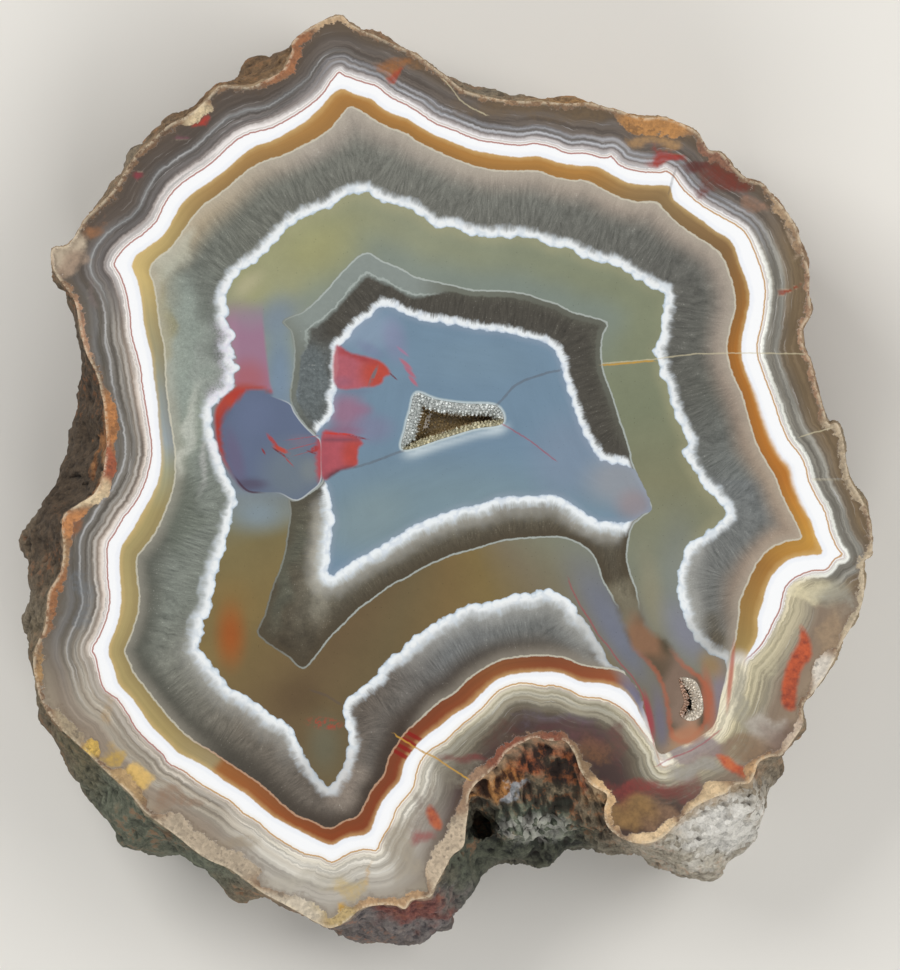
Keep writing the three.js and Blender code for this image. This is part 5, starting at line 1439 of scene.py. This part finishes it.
part = np.clip(dark / np.maximum(dark - core, 1e-6), 0, 1)
lower = smooth(0, -5, up)
tone = Wash(0).solid()
tone.rgb = ramp(part, [(0, (92, 92, 82)), (0.35, (74, 71, 64)), (1, (76, 73, 67))])
lowDark = [(0, (78, 68, 52)), (0.1, (76, 68, 54)), (0.6, (100, 96, 84)), (1, (112, 108, 96))]
tone.lay(lower, ramp(part, lowDark))
for at, size, turn, colour, share in darkWashes:
    tone.lay(oval(at, size, 0.6, turn, wander=True) * share, colour)
tone.store("darkTone")

tone = Wash((113, 138, 159)).solid()
for at, size, turn, colour, share in coreWashes:
    tone.lay(oval(at, size, 0.7, turn) * share, colour)
tone.lay(smooth(0.8, 0.1, core) * 0.3, (160, 166, 184))
tone.store("coreTone")

tone = Wash((150, 120, 140)).solid()
for name, (base, washes) in islandWashes.items():
    share = smooth(-0.7, -0.2, marks[name])
    island = Wash(base).solid()
    for at, size, turn, colour, cover in washes:
        island.lay(oval(at, size, 0.7, turn) * cover, colour)
    tone.lay(share, island.rgb)
tone.store("islandTone")

# where the white crusts are wide or hazy, and other shares that change slowly
storeMasks("crusts", [
    0.3 + 0.7 * np.maximum(oval((-28, -22), (12, 16), 0.3), oval((2, -18), (16, 8), 0.4)),
    oval((-26, -27), (12, 10), 0.4) + oval((4, -17), (18, 8), 0.4) + oval((30, -12), (3, 9), 0.4),
    lower,
    oval((-28, 13), (2.2, 10), 0.5, wander=True) * smooth(0.1, -0.3, olive) * smooth(-2.6, -0.6, olive),
])
storeMasks("lines", [
    smooth(200, 214, angle) * smooth(318, 312, angle),  # the thin line runs on the edge of the white band
    smooth(345, 350, angle) + smooth(62, 44, angle) + smooth(224, 232, angle) * smooth(312, 304, angle),
    smooth(222, 232, angle) * smooth(265, 259, angle),
    smooth(352, 358, angle) + smooth(24, 12, angle),
])
bare = np.maximum(oval((31.5, -30.6), (7.4, 7), 0.3), oval((36.4, -26), (2.4, 4.6), 0.4))
storeMasks("zones", [
    bare,
    np.maximum.reduce([
        oval((19, -20), (4, 6), 0.3), oval((32.4, -20), (4.2, 4), 0.3), oval((-15, -38), (6, 6), 0.5) * 0.7,
    ]),
    smooth(-13.5, -16.5, up) * smooth(16, 19, across),
    np.maximum(oval((-32.4, 14), (4.6, 15), 0.4), oval((-13, -38), (5, 6), 0.4) * 0.8),
])
storeMasks("depths", [
    smooth(6, 12, up) * (0.35 + 0.5 * smooth(14, 4, across)),
    smooth(88, 101, angle) * smooth(141, 130, angle),
    oval((-17, 12), (3.6, 7.6), 0.4),
    smooth(-1.9, 0, vugGap) ** 1.3 * smooth(0.3, -0.8, up - 5.3 - 0.27 * across) * smooth(-7, -3.6, across)
    * smooth(9, 6, across),
])

# Where groups of layers are hidden or don't reach, the shorter material gives the same colours. The
# numbers leave room for the noise that the materials add to the distances.
islands = np.maximum.reduce([marks[name] for name in islandWashes])
lowerRight = (across > 16) & (up < -13)
noCore = (core < -1.5) & (islands < -1) & ~lowerRight
noOlive = noCore & (olive < -1) & (dark < -2)
noQuartz = noOlive & (np.maximum(ochre, quartz) < -1.2) & (olive < -3)
noRings = (fields["redLine"][:, 2] > 1.3) & (bare == 0) & (rimGap[:, 2] > rimWidth + 2.6)
overQuartz = noRings & (olive > 1)
# by place in the stone's list of materials
parts = {
    4: noQuartz, 5: noRings, 6: noRings & noOlive,
    7: overQuartz, 8: overQuartz & noCore, 9: noRings & (core > 0.75),
}
kinds = np.zeros(len(stone.data.polygons), np.int32)
stone.data.polygons.foreach_get("material_index", kinds)
front = np.flatnonzero(kinds == 0)
corners = np.array([stone.data.polygons[int(i)].vertices[:] for i in front])
for kind, fits in parts.items():
    kinds[front[fits[corners].all(1)]] = kind
stone.data.polygons.foreach_set("material_index", kinds)
print("stone: faces by material", np.bincount(kinds).tolist())

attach(stone, "root")
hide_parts("agate_slice")

# quartz points for the walls of a hollow; every point is a short six-sided prism with a tip
def quartzPointsTree():
    tree = bpy.data.node_groups.new("quartz points", "GeometryNodeTree")
    inputs = [
        ("Cup", "NodeSocketGeometry", None), ("Spacing", "NodeSocketFloat", 0.0004),
        ("Width", "NodeSocketFloat", 0.0002), ("Length", "NodeSocketFloat", 0.0005),
        ("Tilt", "NodeSocketFloat", 0.5), ("Seed", "NodeSocketInt", 3),
        ("Material", "NodeSocketMaterial", None),
    ]
    for label, kind, value in inputs:
        socket = tree.interface.new_socket(label, in_out="INPUT", socket_type=kind)
        if value is not None:
            socket.default_value = value
    tree.interface.new_socket("Crust", in_out="OUTPUT", socket_type="NodeSocketGeometry")

    def add(kind, values=None, **settings):
        node = tree.nodes.new(kind)
        for key, value in settings.items():
            setattr(node, key, value)
        for key, value in (values or {}).items():
            if isinstance(value, bpy.types.NodeSocket):
                tree.links.new(value, node.inputs[key])
            else:
                node.inputs[key].default_value = value
        return node

    given = add("NodeGroupInput").outputs
    scatter = add(
        "GeometryNodeDistributePointsOnFaces",
        {"Mesh": given["Cup"], "Distance Min": given["Spacing"], "Density Max": 6e7, "Seed": given["Seed"]},
        distribute_method="POISSON",
    )
    waist = add("ShaderNodeMath", {0: given["Length"], 1: 0.55}, operation="MULTIPLY").outputs[0]
    neck = add("ShaderNodeMath", {0: given["Width"], 1: 0.85}, operation="MULTIPLY").outputs[0]
    peak = add("ShaderNodeMath", {0: given["Length"], 1: 0.45}, operation="MULTIPLY").outputs[0]
    prism = add(
        "GeometryNodeMeshCone",
        {"Vertices": 6, "Radius Top": neck, "Radius Bottom": given["Width"], "Depth": waist},
        fill_type="NONE",
    ).outputs["Mesh"]
    tip = add(
        "GeometryNodeMeshCone", {"Vertices": 6, "Radius Top": 0, "Radius Bottom": neck, "Depth": peak},
        fill_type="NONE",
    ).outputs["Mesh"]
    lift = add("ShaderNodeCombineXYZ", {2: waist}).outputs[0]
    tip = add("GeometryNodeTransform", {"Geometry": tip, "Translation": lift}).outputs[0]
    both = add("GeometryNodeJoinGeometry")
    for part in (prism, tip):
        tree.links.new(part, both.inputs[0])

    lowTilt = add("ShaderNodeMath", {0: given["Tilt"], 1: -1}, operation="MULTIPLY").outputs[0]
    lean = add("FunctionNodeRandomValue", {"Seed": given["Seed"]}, data_type="FLOAT_VECTOR")
    low = add("ShaderNodeCombineXYZ", {0: lowTilt, 1: lowTilt, 2: -3.1}).outputs[0]
    high = add("ShaderNodeCombineXYZ", {0: given["Tilt"], 1: given["Tilt"], 2: 3.1}).outputs[0]
    tree.links.new(low, lean.inputs[0])
    tree.links.new(high, lean.inputs[1])
    leaning = add("FunctionNodeEulerToRotation", {0: lean.outputs[0]}).outputs[0]
    turned = add(
        "FunctionNodeRotateRotation", {"Rotation": scatter.outputs["Rotation"], "Rotate By": leaning},
        rotation_space="LOCAL",
    ).outputs[0]
    sizes = add("FunctionNodeRandomValue", {"Seed": 11}, data_type="FLOAT")
    sizes.inputs[2].default_value, sizes.inputs[3].default_value = 0.55, 1.25
    standing = add(
        "GeometryNodeInstanceOnPoints",
        {"Points": scatter.outputs["Points"], "Instance": both.outputs[0], "Rotation": turned,
         "Scale": sizes.outputs[1]},
    ).outputs[0]
    tints = add("FunctionNodeRandomValue", {"Seed": 23}, data_type="FLOAT")
    tinted = add(
        "GeometryNodeStoreNamedAttribute", {"Geometry": standing, "Name": "tint", "Value": tints.outputs[1]},
        data_type="FLOAT", domain="INSTANCE",
    ).outputs[0]
    crust = add("GeometryNodeJoinGeometry")
    for part in (given["Cup"], tinted):
        tree.links.new(part, crust.inputs[0])
    whole = add("GeometryNodeRealizeInstances", {"Geometry": crust.outputs[0]}).outputs[0]
    painted = add("GeometryNodeSetMaterial", {"Geometry": whole, "Material": given["Material"]}).outputs[0]
    result = add("NodeGroupOutput")
    tree.links.new(painted, result.inputs[0])
    return tree


# the wall that the points stand on: it slopes in from the mouth, by more on one side than on the other
def crustCup(shape, cup):
    mouth = turnedLeft(closedCurve(shape["mouth"], slab["mouthSteps"]))
    facing = outward(mouth)
    for _ in range(6):
        facing = (np.roll(facing, 1, 0) + facing * 2 + np.roll(facing, -1, 0)) / 4
    narrow = smooth(0.1, 0.7, facing @ np.array(cup["narrowSide"]))
    band = cup["wideBand"] + (cup["narrowBand"] - cup["wideBand"]) * narrow
    middle = mouth.mean(0)
    rows = []
    for inset, below, shrink in cup["profile"]:
        ring = mouth - facing * (cup["gap"] + band * inset)[:, None]
        ring = middle + (ring - middle) * shrink
        rows.append(np.column_stack([ring, np.full(len(ring), slab["thickness"] - below * shape["depth"])]))
    rows, count = np.array(rows), len(mouth)
    last = (len(rows) - 1) * count
    lid = [(len(rows) * count, last + i, last + (i + 1) % count) for i in range(count)]
    points = np.vstack([rows.reshape(-1, 3), [*rows[-1].mean(0)]])
    lip = np.concatenate([np.tile(narrow, len(rows)), [0]])
    return points, wallFaces(len(rows), count, 0, inwards=True) + lid, lip


crustPoints = quartzPointsTree()


def crystalCrust(name, node, shape, cup):
    print("crust:", name)
    points, faces, lip = crustCup(shape, cup)
    base = newPiece(name + "Cup", points, faces)
    base.data.attributes.new("lip", "FLOAT", "POINT").data.foreach_set("value", lip)
    material = paintDruse(name, *cup["colours"])
    modifier = base.modifiers.new("points", "NODES")
    modifier.node_group = crustPoints
    sizes = {
        "Spacing": cup["spacing"] * mm, "Width": cup["width"] * mm, "Length": cup["length"] * mm,
        "Tilt": cup["tilt"], "Seed": cup["seed"], "Material": material,
    }
    for item in crustPoints.interface.items_tree:
        if item.in_out == "INPUT" and item.name in sizes:
            modifier[item.identifier] = sizes[item.name]
    ready = base.evaluated_get(bpy.context.evaluated_depsgraph_get())
    crust = bpy.data.objects.new(name, bpy.data.meshes.new_from_object(ready))
    base.modifiers.clear()
    bpy.data.objects.remove(base)
    bpy.context.collection.objects.link(crust)
    # the points that reach the polished face are ground flat with it
    for point in crust.data.vertices:
        point.co.z = min(point.co.z, (slab["thickness"] - 0.01) * mm)
    crust.data.polygons.foreach_set("use_smooth", [False] * len(crust.data.polygons))
    print("crust:", len(crust.data.polygons), "faces")
    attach(crust, "root")
    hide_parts(node)


crystalCrust(
    "centreVugCrust", "centre_vug_crystals", hollows["vug"],
    {
        "gap": 0.02, "wideBand": 1.4, "narrowBand": 0.6, "narrowSide": (0.3, -0.95),
        # share of the band inwards, share of the depth, how much the ring closes in
        "profile": [
            (0, 0.006, 1), (0.2, 0.04, 1), (0.45, 0.07, 1), (0.7, 0.105, 1), (0.88, 0.15, 1), (1, 0.21, 1),
            (1, 0.29, 0.97), (1, 0.36, 0.9), (1, 0.41, 0.76), (1, 0.44, 0.56), (1, 0.45, 0.36),
            (1, 0.455, 0.16),
        ],
        "spacing": 0.36, "width": 0.17, "length": 0.32, "tilt": 0.45, "seed": 3,
        "colours": (
            ((164, 172, 170), (232, 237, 236)), ((176, 166, 126), (214, 206, 170)), ((128, 108, 74),
            (160, 138, 100)),
            (22.9, 21.9),
        ),
    },
)
crystalCrust(
    "smallPocketCrust", "small_pocket_crystals", hollows["pocket"],
    {
        "gap": 0.02, "wideBand": 1.25, "narrowBand": 0.5, "narrowSide": (-1, 0.1),
        "profile": [
            (0, 0.01, 1), (0.25, 0.06, 1), (0.5, 0.11, 1), (0.78, 0.18, 1), (1, 0.28, 1), (1, 0.4, 0.96),
            (1, 0.52, 0.84), (1, 0.58, 0.5),
        ],
        "spacing": 0.3, "width": 0.14, "length": 0.34, "tilt": 0.5, "seed": 5,
        "colours": (
            ((212, 200, 182), (242, 234, 220)), ((150, 108, 86), (192, 154, 130)), ((66, 70, 62),
            (96, 92, 78)),
            (22.8, 21.9),
        ),
    },
)

print("stage: floor, lights and camera")


def paintFloor():
    p = Paint("floor")
    p.colour = p.mix(p.grain(0.02, 3) * 0.06, view["floor"], (244, 242, 238))
    p.tree.links.new(p.colour, p.surface.inputs["Base Color"])
    p.surface.inputs["Roughness"].default_value = 0.9
    return p.material


floor = newPiece(
    "floor", [(-900, -900, 0), (900, -900, 0), (900, 900, 0), (-900, 900, 0)], [(0, 1, 2, 3)], [paintFloor()]
)

# soft boxes round the table, none where the polished face would mirror it into the camera
lamps = [
    # name, place, width, watts
    ("keyLight", (-420, 360, 520), 420, 3.08), ("fillLight", (460, 120, 460), 460, 1.92),
    ("frontLight", (60, -520, 420), 420, 1.6),
]
for name, at, width, power in lamps:
    lamp = bpy.data.lights.new(name, "AREA")
    lamp.size = width * mm
    lamp.energy = power
    lamp.color = (1, 0.985, 0.96)
    holder = bpy.data.objects.new(name, lamp)
    holder.location = Vector(at) * mm
    holder.rotation_euler = (Vector((0, 0, 12)) - Vector(at)).to_track_quat("-Z", "Y").to_euler()
    bpy.context.collection.objects.link(holder)

world = bpy.data.worlds.new("soft room")
world.use_nodes = True
world.node_tree.nodes["Background"].inputs["Color"].default_value = (1, 1, 1, 1)
world.node_tree.nodes["Background"].inputs["Strength"].default_value = 0.22
bpy.context.scene.world = world
bpy.context.scene.view_settings.view_transform = "Standard"

lens = bpy.data.cameras.new("camera")
lens.lens = view["lens"]
lens.sensor_width = view["sensor"]
away = max(view["seen"]) * view["lens"] / view["sensor"]
camera = bpy.data.objects.new("camera", lens)
camera.location = Vector((view["middle"][0], view["middle"][1], slab["thickness"] + away)) * mm
lens.clip_start, lens.clip_end = 0.1, 20
bpy.context.collection.objects.link(camera)
bpy.context.scene.camera = camera
